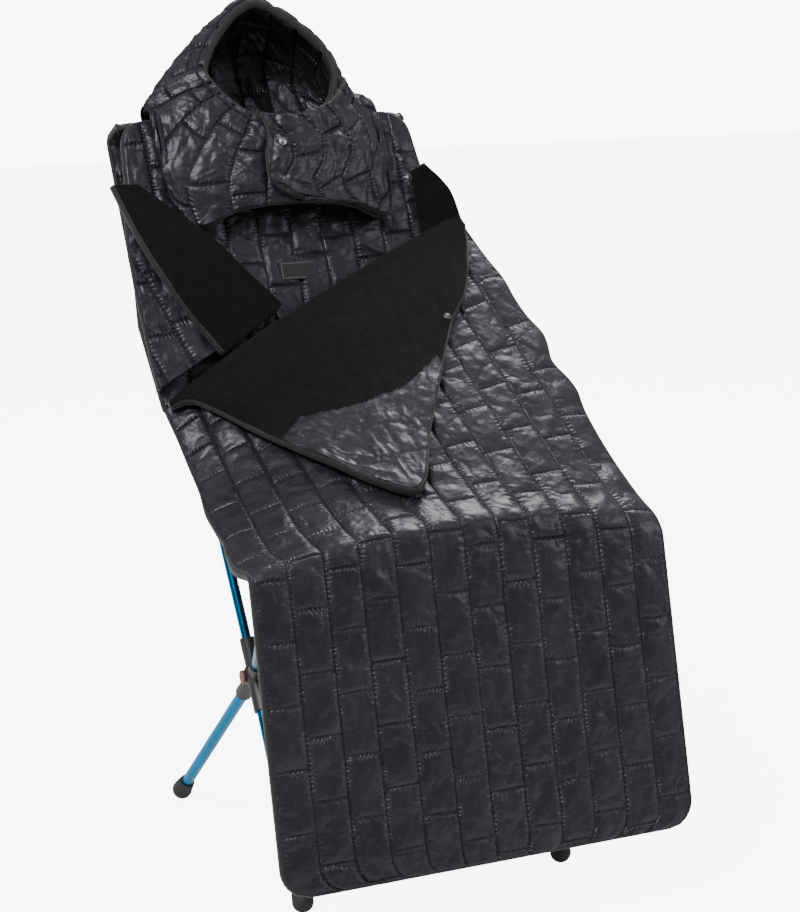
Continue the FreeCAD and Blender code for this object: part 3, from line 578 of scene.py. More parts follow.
cover = {
    # share of the way from chest to knee, lift off the straight line in mm, share of the knee's width
    "left": [(0, 0, 0.84), (0.1, -22, 0.825), (0.2, -41, 0.82), (0.33, -51, 0.83),
             (0.52, -47, 0.88), (0.69, -34, 0.94), (0.85, -16, 0.983), (0.955, 2, 0.995), (1, 0, 1)],
    "crown": [(0, 0, 0), (0.17, 6, 0), (0.33, 4, 0), (0.48, 6, 0),
              (0.62, 10, 0), (0.76, 14, 0), (0.87, 22, 0), (0.945, 27, 0), (1, 0, 0)],
    "right": [(0, 0, 0.865), (0.16, -6, 0.92), (0.32, -10, 0.96), (0.47, -12, 0.983),
              (0.61, -14, 0.99), (0.75, -14, 0.993), (0.88, -6, 0.997), (0.96, 5, 0.998), (1, 0, 1)],
    "halfWidth": 0.289, "thickness": 0.010, "panelLength": 0.384, "cornerRadius": 0.034,
    # buckles of the side edges: where down the side, how long and how far out, in metres
    "buckles": {1: [(0.235, 0.026, 0.008), (0.29, 0.02, -0.005), (0.345, 0.030, 0.007),
                    (0.12, 0.03, 0.004)],
                -1: [(0.20, 0.04, 0.004), (0.30, 0.03, -0.004), (0.40, 0.03, 0.004)]},
    "turnStart": 0.010, "turnEnd": 0.050,  # how far under the knee the swing is taken up
    "chest": {"left": (-243, -432, 20), "crown": (0, -308, 44), "right": (250, -195, 44)},
}


def coverLine(side):
    start = byBack(cover["chest"][side])
    way = knee - start
    flat = unit(np.array([0, way[1], way[2]]))
    sign = {"left": -1, "crown": 0, "right": 1}[side]
    share, lift, width = np.array(cover[side]).T
    points = start + way * share[:, None]
    points[:, 0] = sign * width * cover["halfWidth"]
    points[:, 1] += flat[2] * lift * mm
    points[:, 2] -= flat[1] * lift * mm
    return points


def coverControl(columns=11):
    left, crown, right = (coverLine(side) for side in ("left", "crown", "right"))
    u = np.linspace(-1, 1, columns)[None, :, None]
    return (left[:, None] * (u * (u - 1) / 2) + crown[:, None] * (1 - u * u)
            + right[:, None] * (u * (u + 1) / 2))


coverMesh = coverControl()


def coverAt(across, down):
    # points of the cover for arrays of shares, across from -1 to 1 and down from 0 to 1
    across, down = np.broadcast_arrays(np.asarray(across, float), np.asarray(down, float))
    flatDown = smooth(coverMesh, down.ravel())
    spots = (across.ravel() + 1) / 2
    last = coverMesh.shape[1] - 1
    i = np.minimum((np.clip(spots, 0, 1) * last).astype(int), last - 1)
    r = (np.clip(spots, 0, 1) * last - i)[:, None]

    def pick(k):
        return flatDown[np.arange(len(i)), np.clip(k, 0, last)]

    spot = through(pick(i - 1), pick(i), pick(i + 1), pick(i + 2), r)
    return spot.reshape(across.shape + (3,))


def overKnee(piece):
    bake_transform(piece)


def threeSides(grid):
    # down the first side, along the last row and up the other side, every second point
    return np.concatenate([grid[:, 0], grid[-1, 1:-1], grid[::-1, -1]])[::2]


def makeFrontLayer():
    c = cover
    rows, columns = 190, 200
    upper = gridOf(coverMesh, rows, columns)
    # the leg panel hangs from the knee and stands forward at its hem
    down = np.array([0, -math.sin(panelLean), -math.cos(panelLean)])
    hang = np.linspace(0, c["panelLength"], 130)[1:]
    u = np.linspace(-1, 1, columns)
    fromHem = c["panelLength"] - hang
    radius = c["cornerRadius"]
    rounded = radius - np.sqrt(np.maximum(radius ** 2 - (radius - fromHem) ** 2, 0))
    inset = np.where(fromHem < radius, rounded, 0)
    lower = knee + hang[:, None, None] * down + np.zeros((1, columns, 1))
    lower[:, :, 0] = u[None] * (c["halfWidth"] - inset[:, None])
    grid = np.concatenate([upper, lower])
    out = facing(grid)
    # round the fold over the knee
    for _ in range(14):
        middle = grid[1:-1] * 0.5 + (grid[2:] + grid[:-2]) * 0.25
        near = np.exp(-((np.arange(1, len(grid) - 1) - rows) / 9.0) ** 2)[:, None, None]
        grid[1:-1] = grid[1:-1] * (1 - near) + middle * near
    # the side edges buckle a little above the knee
    along = reach(grid, 0)
    for side, buckles in c["buckles"].items():
        for place, spread, size in buckles:
            weight = np.clip((side * u - 0.72) / 0.28, 0, 1)[None] ** 1.5
            grid[..., 0] += side * size * weight * np.exp(-((along - place) / spread) ** 2)
    out = facing(grid)
    across = u[None] * c["halfWidth"] + np.zeros((len(grid), 1))
    downward = reach(grid, 0)[:, columns // 2][:, None] + np.zeros((1, columns))
    height, place = quilted(across, downward, 1)
    swell = 0.010 * (crumple(across, downward, 0.19, 44) - 0.5)
    slack = np.clip((downward - 0.02) / 0.1, 0, 1) * np.clip(1.15 - downward / 0.75, 0.15, 1)
    edge = np.clip((c["halfWidth"] - np.abs(across)) / 0.02, 0, 1)
    height = (height + swell * slack) * (0.25 + 0.75 * edge)
    outer = grid + out * height[..., None]
    inner = grid - out * (c["thickness"] + 0.35 * height[..., None])
    piece = closedSheet("front_cover_quilt", outer, inner, [nylon, lining], place, place)
    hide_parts("front_cover", "leg_panel")
    overKnee(piece)
    # binding tape from the chest down one side, round the hem and up the other
    band = sweep("front_cover_binding", threeSides((outer + inner) / 2), threeSides(out),
                 0.007, 0.0125, tape)
    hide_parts("leg_binding")
    overKnee(band)
    print("front layer made")


# front flap: the right front edge turned down over the cover

flap = {"edge": [(-0.97, 0.03), (-0.86, 0.06), (-0.73, 0.165), (-0.53, 0.355), (-0.34, 0.52),
                 (-0.16, 0.66), (-0.07, 0.66), (0.12, 0.49), (0.35, 0.328), (0.55, 0.217),
                 (0.72, 0.16), (0.87, 0.085), (0.96, 0.03)],
        "gap": 0.006, "quilt": 0.008, "fleece": 0.004, "snap": (0.93, 0.745), "snapAim": (0.86, 0.735),
        "facing": [(-0.53, 0.34), (-0.40, 0.30), (-0.10, 0.335), (0.12, 0.34), (0.37, 0.29)]}


def coverFacing(across, down):
    step = 0.05
    left, right = np.maximum(across - step, -1), np.minimum(across + step, 1)
    above, below = np.maximum(down - step, 0), np.minimum(down + step, 1)
    return unit(np.cross(coverAt(across, below) - coverAt(across, above),
                         coverAt(right, down) - coverAt(left, down)))


def makeFlap():
    f = flap
    rows, columns = 90, 200
    t = np.linspace(0, 1, columns)
    edge = smooth(np.array(f["edge"]), t)
    share = np.linspace(0, 1, rows)[:, None]
    across = edge[None, :, 0] + 0 * share
    down = edge[None, :, 1] * share
    base = coverAt(across, down)
    out = coverFacing(across, down)
    along, depth = reach(base, 1), reach(base, 0)
    height, place = quilted(along, depth, 5, 0.7, 0.8)
    soft = fleecy(along, depth, 9)
    bottom = base + out * f["gap"]
    middle = base + out * (f["gap"] + f["quilt"] + 0.3 * height[..., None])
    top = middle + out * (f["fleece"] + 0.0005 + soft[..., None])
    quilt = closedSheet("front_flap_quilt", middle, bottom, [nylon, nylon], place, place)
    settle(quilt, "front_closure", "quilted_nylon", "front_flap")
    # below a curved seam the flap is faced with nylon
    limit = byTable(across, f["facing"], left=9, right=9)
    faced = (down > limit)[:-1, :-1]
    crinkle = np.clip((down - limit) / 0.02, 0, 1) * 0.0045 * crumple(along, depth, 0.03, 12)
    top = top + out * (crinkle - 0.0012 * (down > limit))[..., None]
    face = closedSheet("front_flap_face", top, middle + out * 0.0003, [fleece, fleece, nylon],
                       split=np.where(faced, 2, 0))
    settle(face, "front_closure", "fleece", "front_flap_fleece")
    # a press stud cap on the flap's face, then binding round its edge
    i, j = (int(a * b) for a, b in zip(f["snap"], (rows, columns)))
    k, m = (int(a * b) for a, b in zip(f["snapAim"], (rows, columns)))
    makeSnap("flap_snap_cap", top[i, j], out[k, m], snapFinish, "front_closure", "flap_snap")
    mid = (top + bottom) / 2
    edgeLine, edgeOut = (np.concatenate([g[:, 0], g[-1], g[::-1, -1]]) for g in (mid, out))
    keep = apart(edgeLine, 0.0012)
    bind("front_flap_binding", edgeLine[keep], edgeOut[keep], 0.006, 0.013, "front_closure")
    print("front flap made")


# back layer: quilted panel, its binding, patch and the rear sleeve

backLayer = {"halfTop": 220, "halfMiddle": 248, "halfLow": 236, "middle": 300, "length": 425,
             "corner": 32, "thickness": 11}


def backHalf(drop):
    b = backLayer
    half = np.interp(drop, [0, b["middle"], b["length"]], [b["halfTop"], b["halfMiddle"], b["halfLow"]])
    bend = np.clip(b["corner"] - drop, 0, b["corner"])
    return half - (b["corner"] - np.sqrt(b["corner"] ** 2 - bend ** 2))


def makeBackPanel():
    b = backLayer
    rows, columns = 170, 180
    drop = np.linspace(0, 1, rows) ** 1.02 * b["length"]
    u = np.linspace(-1, 1, columns)
    flat = np.zeros((rows, columns, 3))
    flat[..., 0] = u[None] * backHalf(drop)[:, None]
    flat[..., 1] = -drop[:, None]
    across, down = flat[..., 0] * mm, drop[:, None] * mm + np.zeros((1, columns))
    height, place = quilted(across, down, 61, 1.2, 2.1)
    gather = 0.5 - np.abs(crumple(across * 0.4, down, 0.030, 66) - 0.5)
    edge = np.clip(np.minimum((1 - np.abs(u))[None] * 10, drop[:, None] / 22), 0, 1)
    height = (height + 0.0022 * gather) * (0.3 + 0.7 * edge)
    grid = byBack(flat)
    outer = grid + backOut * height[..., None]
    inner = grid - backOut * (b["thickness"] * mm)
    panel = closedSheet("back_quilt", outer, inner, [nylon, lining], place)
    settle(panel, "chair_frame", "quilted_nylon", "back_panel", fill=0.45)
    mid = (outer + inner) / 2
    path = np.concatenate([mid[::-1, 0], mid[0, 1:-1], mid[:, -1], mid[-1, 1:-1][::-1]])[::2]
    normals = np.tile(backOut, (len(path), 1))
    bind("back_layer_binding", path, normals, 0.0075, 0.0125, "chair_frame", "back_binding",
         closed=True)
    print("back panel made")


patch = {"left": -29, "right": 34, "top": -226, "bottom": -253, "lift": 6.0}


def makePatch():
    p = patch
    rows, columns = 24, 50
    x, v = np.meshgrid(np.linspace(p["left"], p["right"], columns),
                       np.linspace(p["top"], p["bottom"], rows))
    lift = p["lift"] + 0.9 * noise(x / 17, v / 17, 3)
    grid = byBack(np.stack([x, v, lift], -1))
    out = facing(grid)
    piece = closedSheet("label_patch_blank", grid, grid - out * 0.0014, [patchCloth])
    settle(piece, "chair_frame", "woven_patch", "label_patch")
    inset = 2
    loop = np.concatenate([grid[inset, inset:-inset], grid[inset:-inset, -inset - 1],
                           grid[-inset - 1, inset:-inset][::-1], grid[inset:-inset, inset][::-1]])
    outs = np.tile(backOut, (len(loop), 1))
    border = sweep("label_patch_border", loop, outs, 0.0009, 0.0008, threadCloth, closed=True, sides=6)
    settle(border, "chair_frame", "woven_patch")


sleeve = {"half": 222, "drop": 250, "front": -12.5, "rear": -62, "round": 9, "thickness": 8}


def makeSleeve():
    s = sleeve
    radius = s["round"]
    turn = np.linspace(0, math.pi / 2, 8)
    path = [(s["front"], -s["thickness"])]
    path += [(s["front"] - radius + radius * math.cos(a), -radius + radius * math.sin(a)) for a in turn]
    path += [(w, 0) for w in np.linspace(s["front"] - radius - 3, s["rear"] + radius + 3, 10)]
    path += [(s["rear"] + radius - radius * math.sin(a), -radius + radius * math.cos(a)) for a in turn]
    path += [(s["rear"], v) for v in np.linspace(-radius - 3, -s["drop"], 90)]
    path = np.array(path)
    u = np.linspace(-1, 1, 170)
    flat = np.zeros((len(path), len(u), 3))
    flat[..., 0] = u[None] * s["half"]
    flat[..., 1] = path[:, 1][:, None]
    flat[..., 2] = path[:, 0][:, None]
    grid = byBack(flat)
    out, across, down, height, place = quiltOver(grid, 77, 1.0, 1.5)
    edge = np.clip((1 - np.abs(u))[None] * 12, 0, 1) * np.clip((down[-1:] - down) / 0.012, 0, 1)
    outer = grid + out * (height * edge)[..., None]
    inner = grid - out * (s["thickness"] * mm * 0.7 + height * edge)[..., None]
    piece = closedSheet("back_sleeve_quilt", outer, inner, [nylon, nylon], place, place)
    settle(piece, "chair_frame", "quilted_nylon", "back_sleeve", fill=0.3)
    bind("back_sleeve_binding", threeSides((outer + inner) / 2), threeSides(out),
         0.006, 0.010, "chair_frame")
    print("sleeve made")


# seat: sling and fleece liner

seat = {"spine": [(92, 514), (46, 452), (-10, 426), (-90, 422), (-180, 438), (-238, 452)],
        "liner": 190, "linerThickness": 9, "slingGap": 4, "slingThickness": 2.6,
        "halves": [(-250, 255), (-222, 250), (-70, 196), (70, 176), (420, 176)]}


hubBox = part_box("hub_left")
hubDepth = (hubBox[0].y + hubBox[1].y) / 2


def sideLine(points, count):
    # (depth from the hubs, height) in mm to a line of points in the middle plane
    line = smooth(np.array(points, float), np.linspace(0, 1, count)) * mm
    return np.stack([np.zeros(count), line[:, 0] + hubDepth, line[:, 1]], 1)


def widen(line, u, half):
    grid = line[:, None] + np.zeros((1, len(u), 1))
    grid[..., 0] = u[None] * half[:, None]
    return grid


def slopeSpot(drop, behind):
    spot = byBack([0, -drop, -behind])
    return ((spot[1] - hubDepth) / mm, spot[2] / mm)


def makeSeat():
    s = seat
    foot = slopeSpot(backLayer["length"] + 2, 1)
    line = sideLine([foot] + s["spine"], 110)
    u = np.linspace(-1, 1, 120)
    grid = widen(line, u, np.full(len(line), s["liner"]) * mm)
    out = facing(grid)
    across, down = reach(grid, 1), reach(grid, 0)
    soft = fleecy(across, down, 31)
    edge = np.clip((1 - np.abs(u))[None] * 9, 0, 1)
    outer = grid + out * (soft * edge - 0.001)[..., None]
    inner = grid - out * (s["linerThickness"] * mm) * (0.55 + 0.45 * edge[..., None])
    liner = closedSheet("seat_liner_fleece", outer, inner, [fleece, nylon])
    settle(liner, "chair_frame", "fleece", "seat_liner", fill=0.4)
    under = s["linerThickness"] + s["slingGap"]
    behind = backLayer["thickness"] + s["slingGap"]
    below = sideLine(s["spine"], 90)
    tangent = unit(np.gradient(below, axis=0))
    normal = np.cross(tangent, np.array([1.0, 0, 0]))
    below = below - normal * under * mm
    rear = sideLine([slopeSpot(drop, behind) for drop in (20, 220, backLayer["length"] + 6)], 90)
    path = np.concatenate([rear[:-4], below[6:]])
    relax(path, 20)
    depth = (path[:, 1] - hubDepth) / mm
    half = byTable(depth, s["halves"]) * mm
    grid = widen(path, u, half)
    out = facing(grid)
    across, down = reach(grid, 1), reach(grid, 0)
    pull = 0.0014 * (crumple(across * 0.5, down, 0.07, 90) - 0.5)
    hem = np.exp(-((1 - np.abs(u)) / 0.05) ** 2)[None] * 0.0008
    outer = grid + out * (pull + hem)[..., None]
    inner = outer - out * (s["slingThickness"] * mm)
    sling = closedSheet("sling_cloth", outer, inner, [slingCloth])
    settle(sling, "chair_frame", "sling_cloth", "sling")
    print("seat made")


# wings and lapel beside the back

wing = {
    # rows of (side seam, fold): shares of the back's width and length, and mm forward
    "left": [(-0.968, 0.264, 14, -0.911, 0.252, 14), (-1, 0.428, 14, -0.714, 0.353, 15),
             (-1.008, 0.588, 14, -0.524, 0.461, 17), (-1, 0.753, 14, -0.355, 0.593, 21),
             (-0.984, 0.941, 14, -0.202, 0.706, 25)],
    "lapelEdge": [(-1.056, 0.249), (-0.98, 0.395), (-0.887, 0.534), (-0.75, 0.696), (-0.589, 0.852)],
    "right": [(0.826, 0.235, 14, 0.903, 0.224, 28), (0.815, 0.353, 14, 0.996, 0.334, 42),
              (0.80, 0.494, 14, 1.04, 0.461, 38), (0.795, 0.635, 14, 1.065, 0.579, 34),
              (0.80, 0.776, 14, 1.081, 0.706, 30)],
    "thickness": 0.010, "sheetGap": 0.005, "quilt": 0.008, "fleece": 0.004,
}


def wingSpots(triples):
    triples = np.array(triples, float)
    return byBack(np.stack([triples[:, 0] * backLayer["halfMiddle"],
                            -triples[:, 1] * backLayer["length"], triples[:, 2]], -1))


def between(start, end, count=5):
    share = np.linspace(0, 1, count)[None, :, None]
    return start[:, None] * (1 - share) + end[:, None] * share


def edgeBand(name, line, out, wide=0.006, thick=0.010):
    bind(name, line[::2], out[::2], wide, thick, "chair_frame")


def makeLeftWing():
    rows = np.array(wing["left"])
    control = between(wingSpots(rows[:, :3]), wingSpots(rows[:, 3:]))
    grid = gridOf(control, 120, 90)
    out, across, down, height, place = quiltOver(grid, 15, 1.2, 1.9)
    height = height + 0.006 * (crumple(across, down, 0.09, 52) - 0.5)
    outer = grid + out * height[..., None]
    inner = grid - out * wing["thickness"]
    piece = closedSheet("left_wing_quilt", outer, inner, [nylon, fleece], place)
    settle(piece, "chair_frame", "quilted_nylon", "left_wing", fill=0.35)
    edgeBand("left_wing_binding", (outer[:, 0] + inner[:, 0]) / 2, out[:, 0])


def makeLapel():
    rows = np.array(wing["left"])
    free = np.array([(a, d, row[2] + 1) for (a, d), row in zip(wing["lapelEdge"], rows)])
    control = between(wingSpots(free), wingSpots(rows[:, 3:]))
    grid = gridOf(control, 120, 80)
    out, across, down, height, place = quiltOver(grid, 25, 0.8, 1.2)
    soft = fleecy(across, down, 27)
    bottom = grid + out * wing["sheetGap"]
    middle = bottom + out * wing["quilt"]
    top = middle + out * (wing["fleece"] + 0.001 + soft)[..., None]
    quilt = closedSheet("left_lapel_quilt", middle, bottom - out * 0.3 * height[..., None],
                        [nylon, nylon], place, place)
    settle(quilt, "chair_frame", "quilted_nylon", "left_lapel", fill=0.3)
    face = closedSheet("left_lapel_face", top, middle + out * 0.0003, [fleece])
    settle(face, "chair_frame", "fleece", "left_lapel_fleece")
    edgeBand("left_lapel_binding", (top[:, 0] + bottom[:, 0]) / 2, out[:, 0], 0.007, 0.014)


def makeRightWing():
    rows = np.array(wing["right"])
    control = between(wingSpots(rows[:, :3]), wingSpots(rows[:, 3:]), 4)
    grid = gridOf(control, 110, 60)
    out, across, down, height, place = quiltOver(grid, 35, 1.0, 1.4)
    soft = fleecy(across, down, 37)
    outer = grid + out * soft[..., None]
    inner = grid - out * (wing["fleece"] + height)[..., None]
    piece = closedSheet("right_wing_fleece", outer, inner, [fleece, nylon], None, place)
    settle(piece, "chair_frame", "fleece", "right_wing", fill=0.35)
    edgeBand("right_wing_binding", (outer[0] + inner[0]) / 2, out[0])


sideDrape = {"low": (0, 0, -0.006), "high": (-0.006, 0.010, -0.024), "thickness": 0.009}


def makeRightSide():
    left, right = coverLine("left"), coverLine("right")
    steps = range(3, len(right) - 1)
    low = np.array([left[i] * (-1, 1, 1) + np.array(sideDrape["low"]) for i in steps])
    high = np.array([right[i] + np.array(sideDrape["high"]) for i in steps])
    grid = gridOf(between(low, high, 4), 100, 70)
    out = facing(grid)
    if out[..., 0].mean() < 0:
        out = -out
    across, down = reach(grid, 1), reach(grid, 0)
    height, place = quilted(down, across, 45, 1.0, 1.6)
    outer = grid + out * (height * 0.9)[..., None]
    inner = grid - out * sideDrape["thickness"]
    piece = closedSheet("right_side_quilt", outer, inner, [nylon, fleece], place)
    settle(piece, "chair_frame", "quilted_nylon", "right_side", fill=0.35)


# hood: a gathered crown that runs down into a short cape

hood = {
    # loops from the rim out to the hem, each anticlockwise from the peak: across, up and forward in mm
    "loops": [
        [(-1, 168, 34), (-58, 126, 36), (-95, 66, 38), (-90, 38, 44), (-72, 8, 50), (-38, -24, 58),
         (10, -32, 62), (62, -14, 56), (88, 8, 48), (106, 44, 42), (102, 86, 38), (54, 140, 36)],
        [(-2, 177, 14), (-70, 136, 10), (-120, 68, 14), (-122, 34, 30), (-100, -8, 46), (-50, -50, 60),
         (8, -58, 64), (76, -42, 52), (104, -8, 38), (124, 34, 20), (113, 92, 8), (66, 146, 10)],
        [(0, 162, -44), (-82, 124, -36), (-152, 56, -16), (-160, 22, 14), (-140, -50, 38), (-68, -84, 56),
         (2, -90, 62), (90, -76, 50), (132, -50, 32), (147, 16, 12), (119, 82, -32), (76, 132, -38)],
        [(0, 104, -86), (-84, 84, -78), (-168, 32, -34), (-177, 15, 14), (-170, -102, 22), (-80, -118, 50),
         (0, -121, 55), (92, -116, 44), (154, -102, 22), (158, 14, 14), (132, 44, -54), (74, 88, -78)],
        [(0, 8, -78), (-86, 8, -76), (-162, 10, -52), (-180, 9, 14), (-160, -158, 14), (-82, -154, 42),
         (-4, -150, 46), (84, -153, 36), (159, -158, 14), (168, 9, 14), (142, 10, -52), (80, 8, -76)],
    ],
    "thickness": 0.008, "rows": 150, "columns": 420,
    "flapEdge": [(0, 5.08), (0.25, 5.35), (0.5, 5.42), (0.72, 5.50), (0.86, 5.72), (0.955, 6.15)],
    "flapEnd": [(0, 8.9), (0.3, 8.9), (0.5, 8.6), (0.75, 7.95), (1, 7.85)],
    "flapGap": 0.0045, "flapThickness": 0.006, "flapReach": 0.985,
    "channelWidth": 0.05, "slack": 0.0085, "innerSlack": 0.007, "loopRadius": 0.11,
    # share down and along the flap
    "snaps": {"hood_snap_upper": (0.36, 0.085), "hood_snap_lower": (0.76, 0.07)},
}


def ringOf(control, rows, columns):
    # a fine grid through closed loops
    control = np.asarray(control, float)
    down = smooth(control, np.linspace(0, 1, rows))
    count = control.shape[1]
    place = np.arange(columns) * count / columns
    i = place.astype(int)
    r = (place - i)[None, :, None]
    return through(*(down[:, (i + k) % count] for k in (-1, 0, 1, 2)), r)


def makeHood():
    h = hood
    rows, columns = h["rows"], h["columns"]
    grid = ringOf(byBack(h["loops"]), rows, columns)
    out = facing(grid, wrap=True)
    middle = grid[rows // 2]
    step = np.linalg.norm(np.roll(middle, -1, axis=0) - middle, axis=1)
    around = np.cumsum(step)
    channels = round(around[-1] / h["channelWidth"])
    around = np.tile(around / around[-1] * channels * quilting["channel"], (rows, 1))
    down = reach(grid, 0).mean(axis=1)[:, None] + np.zeros((1, columns))
    height, place = quilted(around, down, 81, 1.0, 1.9)
    turn = 2 * math.pi * np.arange(columns) / columns
    loopX, loopY = h["loopRadius"] * np.cos(turn)[None], h["loopRadius"] * np.sin(turn)[None]
    slack = crumple(loopX + down * 0.4, loopY + down, 0.085, 88) - 0.5
    inside = np.clip(down / 0.03, 0, 1)
    height = height + h["slack"] * slack * inside
    outer = grid + out * height[..., None]
    deep = crumple(loopX * 1.3 + 3 + down * 0.5, loopY * 1.3 + down, 0.06, 97) - 0.5
    inner = grid - out * (h["thickness"] + h["innerSlack"] * deep * inside)[..., None]
    innerHeight, innerPlace = quilted(around, down, 83, 0.9, 1.0)
    inner = inner - out * innerHeight[..., None]
    piece = closedSheet("hood_quilt", outer, inner, [nylon, lining], place, innerPlace, wrap=True)
    settle(piece, "hood", "quilted_nylon", "hood_crown", "hood_cape", fill=0.4)
    mid = (outer + inner) / 2
    fold = outer + out * 0.0005
    for name, line, row, wide, thick, finish, slotName in (
            ("hood_rim_piping", mid, 0, 0.006, 0.0115, tape, "binding_tape"),
            ("hood_rim_stitch_fold", fold, 14, 0.0045, 0.0022, nylon, "quilted_nylon"),
            ("hood_hem_piping", mid, -1, 0.006, 0.0105, tape, "binding_tape")):
        band = sweep(name, line[row][::3], out[row][::3], wide, thick, finish, closed=True)
        settle(band, "hood", slotName)
    makeHoodFlap(outer, out)
    print("hood made")


def sampleGrid(grid, row, column):
    # bilinear, the columns wrapping round
    rows, columns = grid.shape[:2]
    i = np.clip(np.floor(row).astype(int), 0, rows - 2)
    j = np.floor(column).astype(int)
    u, v = (row - i)[..., None], (column - j)[..., None]
    a, b = grid[i, j % columns], grid[i, (j + 1) % columns]
    c, d = grid[i + 1, j % columns], grid[i + 1, (j + 1) % columns]
    return (a * (1 - v) + b * v) * (1 - u) + (c * (1 - v) + d * v) * u


def makeHoodFlap(outer, out):
    h = hood
    rows, columns = 110, 170
    share = np.linspace(0, h["flapReach"], rows)
    start = byTable(share, h["flapEdge"])
    relax(start, 12)
    end = byTable(share, h["flapEnd"])
    station = start[:, None] + (end - start)[:, None] * np.linspace(0, 1, columns)[None]
    row = share[:, None] * (h["rows"] - 1) + 0 * station
    column = station * h["columns"] / len(h["loops"][0])
    base = sampleGrid(outer, row, column)
    facingOut = unit(sampleGrid(out, row, column))
    for _ in range(6):
        base[1:-1, 1:-1] = (base[1:-1, 1:-1] + base[2:, 1:-1] + base[:-2, 1:-1] + base[1:-1, 2:]
                            + base[1:-1, :-2]) / 5
    across, down = reach(base, 1), reach(base, 0)
    height, place = quilted(across, down, 101, 1.0, 2.0)
    tuck = np.clip((1 - np.linspace(0, 1, columns)) / 0.08, 0.1, 1)[None]
    lift = (h["flapGap"] + h["flapThickness"]) * tuck
    top = base + facingOut * (lift + height)[..., None]
    bottom = base + facingOut * (h["flapGap"] * tuck * 0.5)[..., None]
    piece = closedSheet("hood_flap_quilt", top, bottom, [nylon, lining], place)
    settle(piece, "hood_closure", "quilted_nylon", "hood_flap", fill=0.35)
    mid = (top + bottom) / 2
    line, normals = (np.concatenate([g[0, ::-1], g[1:, 0], g[-1, 1:]]) for g in (mid, facingOut))
    keep = apart(line, 0.0008)
    line, normals = line[keep][::2], normals[keep][::2]
    bind("hood_flap_piping", line, normals, 0.0055, 0.0105, "hood_closure")
    # the upper hood snap takes the lighter press stud copy, a painted highlight; the lower one the plain
    # finish
    for (node, (share, along)), finish in zip(h["snaps"].items(), (snapPaintedHighlight, snapFinish)):
        i, j = int(share * (rows - 1)), int(along * (columns - 1))
        makeSnap(node + "_cap", top[i, j], facingOut[i, j], finish, "hood_closure", node)


snapRadius = 0.0060
# share of the radius, and height in metres
snapProfile = [(0.98, -0.001), (1, 0.0003), (0.97, 0.0010), (0.86, 0.0014), (0.78, 0.0009),
               (0.66, 0.0013), (0.45, 0.0019), (0.22, 0.0022), (0.05, 0.0023)]


def makeSnap(name, spot, out, finish, body, *replaced):
    profile = [(snapRadius * share, height) for share, height in snapProfile]
    cap = turnedPiece(name, spot, out, profile, finish)
    settle(cap, body, "snap_metal", *replaced)


for make in (makeFrontLayer, makeFlap, makeBackPanel, makePatch, makeSleeve, makeSeat,
             makeLeftWing, makeLapel, makeRightWing, makeRightSide, makeHood):
    make()
# the back snaps take the lighter press stud copy, a painted highlight
for node, spot in (("back_snap_left", (-225, -106, 5)), ("back_snap_right", (205, -106, 5))):
    makeSnap(node + "_cap", byBack(spot), backOut, snapPaintedHighlight, "chair_frame", node)

# carried over nodes

finishes = {
    "blue_tube": blueTube, "ferrule_metal": plainMetal, "hub_pin": pinResin, "hub_resin": resin,
    "foot_rubber": footRubber, "sling_cloth": slingCloth, "shock_cord": shockCord,
    "binding_tape": tape, "woven_patch": patchCloth, "fleece": fleece, "snap_metal": snapFinish,
    "quilted_nylon": nylon,
}
for entry in frame["record"]["subparts"]:
    node = nodes[entry["node"]]
    node.data.materials.clear()
    node.data.materials.append(finishes[entry["material_slot"]])

# floor, light and camera

stage = {"reach": 9, "floorGlow": 7.0, "skyGlow": 9, "roomLow": (0.20, 0.20, 0.21),
         "roomHigh": (0.75, 0.75, 0.76), "aim": (0, 0, 0.6),
         # place, size in metres and watts
         "lamps": {"key": ((-2.2, -1.2, 3.6), 1.3, 175), "fill": ((2.8, -2.0, 2.2), 1.6, 45),
                   "rim": ((1.8, 2.2, 3.0), 1.2, 65)}}
view = {"spot": (-1.3008, -2.8579, 1.2599), "yaw": -25.583, "pitch": -12.963, "lens": 92.18}


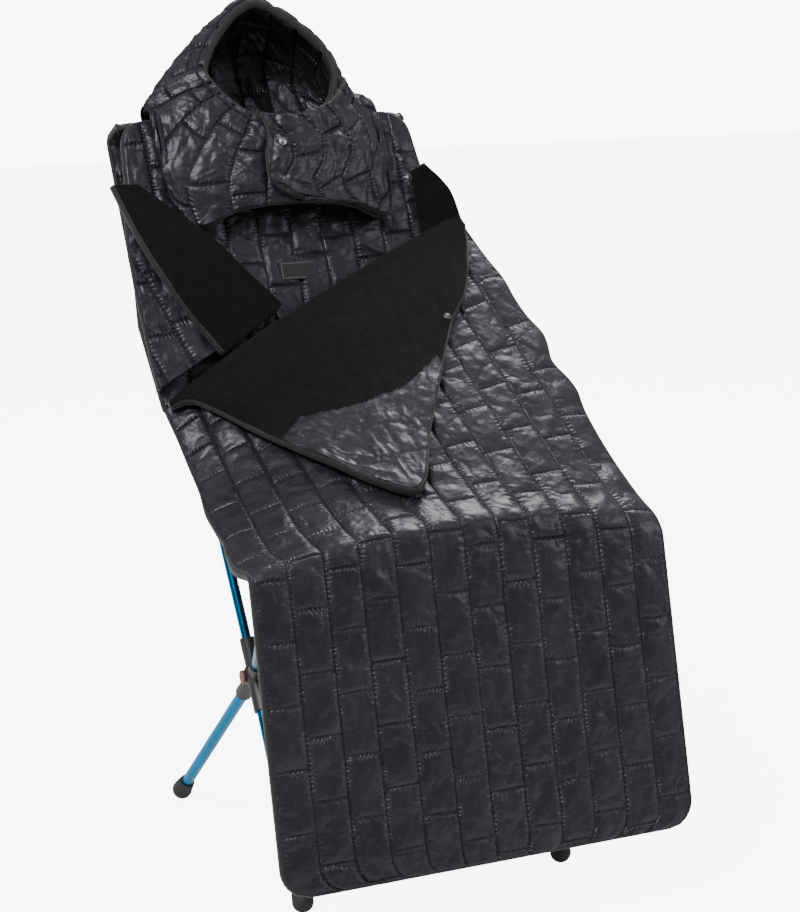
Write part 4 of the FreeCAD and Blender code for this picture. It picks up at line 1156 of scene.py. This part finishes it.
def makeStage():
    far = stage["reach"]
    corners = [(x * far, y * far, 0) for x, y in ((-1, -1), (1, -1), (1, 1), (-1, 1))]
    floor = newMesh("studio_floor", corners, [(0, 1, 2, 3)], [])
    settings = {"Roughness": 0.8, "Specular IOR Level": 0.2}
    material, tree, shader, place = nodeMaterial("pale floor", settings)
    tree.links.new(ramp(tree, noiseNode(tree, place, 0.6, 2), (0.88, 0.88, 0.88), (0.92, 0.92, 0.92)),
                   shader.inputs["Base Color"])
    rays = newNode(tree, "LightPath")
    shader.inputs["Emission Color"].default_value = (1, 1, 1, 1)
    tree.links.new(mathNode(tree, "MULTIPLY", rays.outputs["Is Camera Ray"], stage["floorGlow"]),
                   shader.inputs["Emission Strength"])
    floor.data.materials.append(material)
    # white surroundings, but a dark room behind the camera for the cloth to mirror
    world = bpy.data.worlds.new("studio")
    world.use_nodes = True
    tree = world.node_tree
    white = tree.nodes["Background"]
    white.inputs["Color"].default_value = (1, 1, 1, 1)
    white.inputs["Strength"].default_value = stage["skyGlow"]
    room = newNode(tree, "Background")
    room.inputs["Strength"].default_value = 1.0
    place = newNode(tree, "TexCoord")
    split = newNode(tree, "SeparateXYZ")
    tree.links.new(place.outputs["Generated"], split.inputs[0])
    tree.links.new(ramp(tree, split.outputs["Z"], stage["roomLow"], stage["roomHigh"]),
                   room.inputs["Color"])
    rays = newNode(tree, "LightPath")
    mix = newNode(tree, "MixShader")
    tree.links.new(rays.outputs["Is Camera Ray"], mix.inputs[0])
    tree.links.new(room.outputs[0], mix.inputs[1])
    tree.links.new(white.outputs[0], mix.inputs[2])
    tree.links.new(mix.outputs[0], tree.nodes["World Output"].inputs["Surface"])
    bpy.context.scene.world = world
    for name, (spot, size, power) in stage["lamps"].items():
        light = bpy.data.lights.new(name, "AREA")
        light.size = size
        light.energy = power
        lamp = bpy.data.objects.new(name, light)
        lamp.location = spot
        aim = Vector(stage["aim"]) - Vector(spot)
        lamp.rotation_euler = aim.to_track_quat("-Z", "Y").to_euler()
        bpy.context.scene.collection.objects.link(lamp)


def makeCamera():
    camera = bpy.data.cameras.new("camera")
    camera.lens = view["lens"]
    camera.sensor_width = 36
    camera.sensor_fit = "AUTO"
    eye = bpy.data.objects.new("camera", camera)
    eye.location = view["spot"]
    eye.rotation_euler = (math.radians(90 + view["pitch"]), 0, math.radians(view["yaw"]))
    bpy.context.scene.collection.objects.link(eye)
    bpy.context.scene.camera = eye


makeStage()
makeCamera()
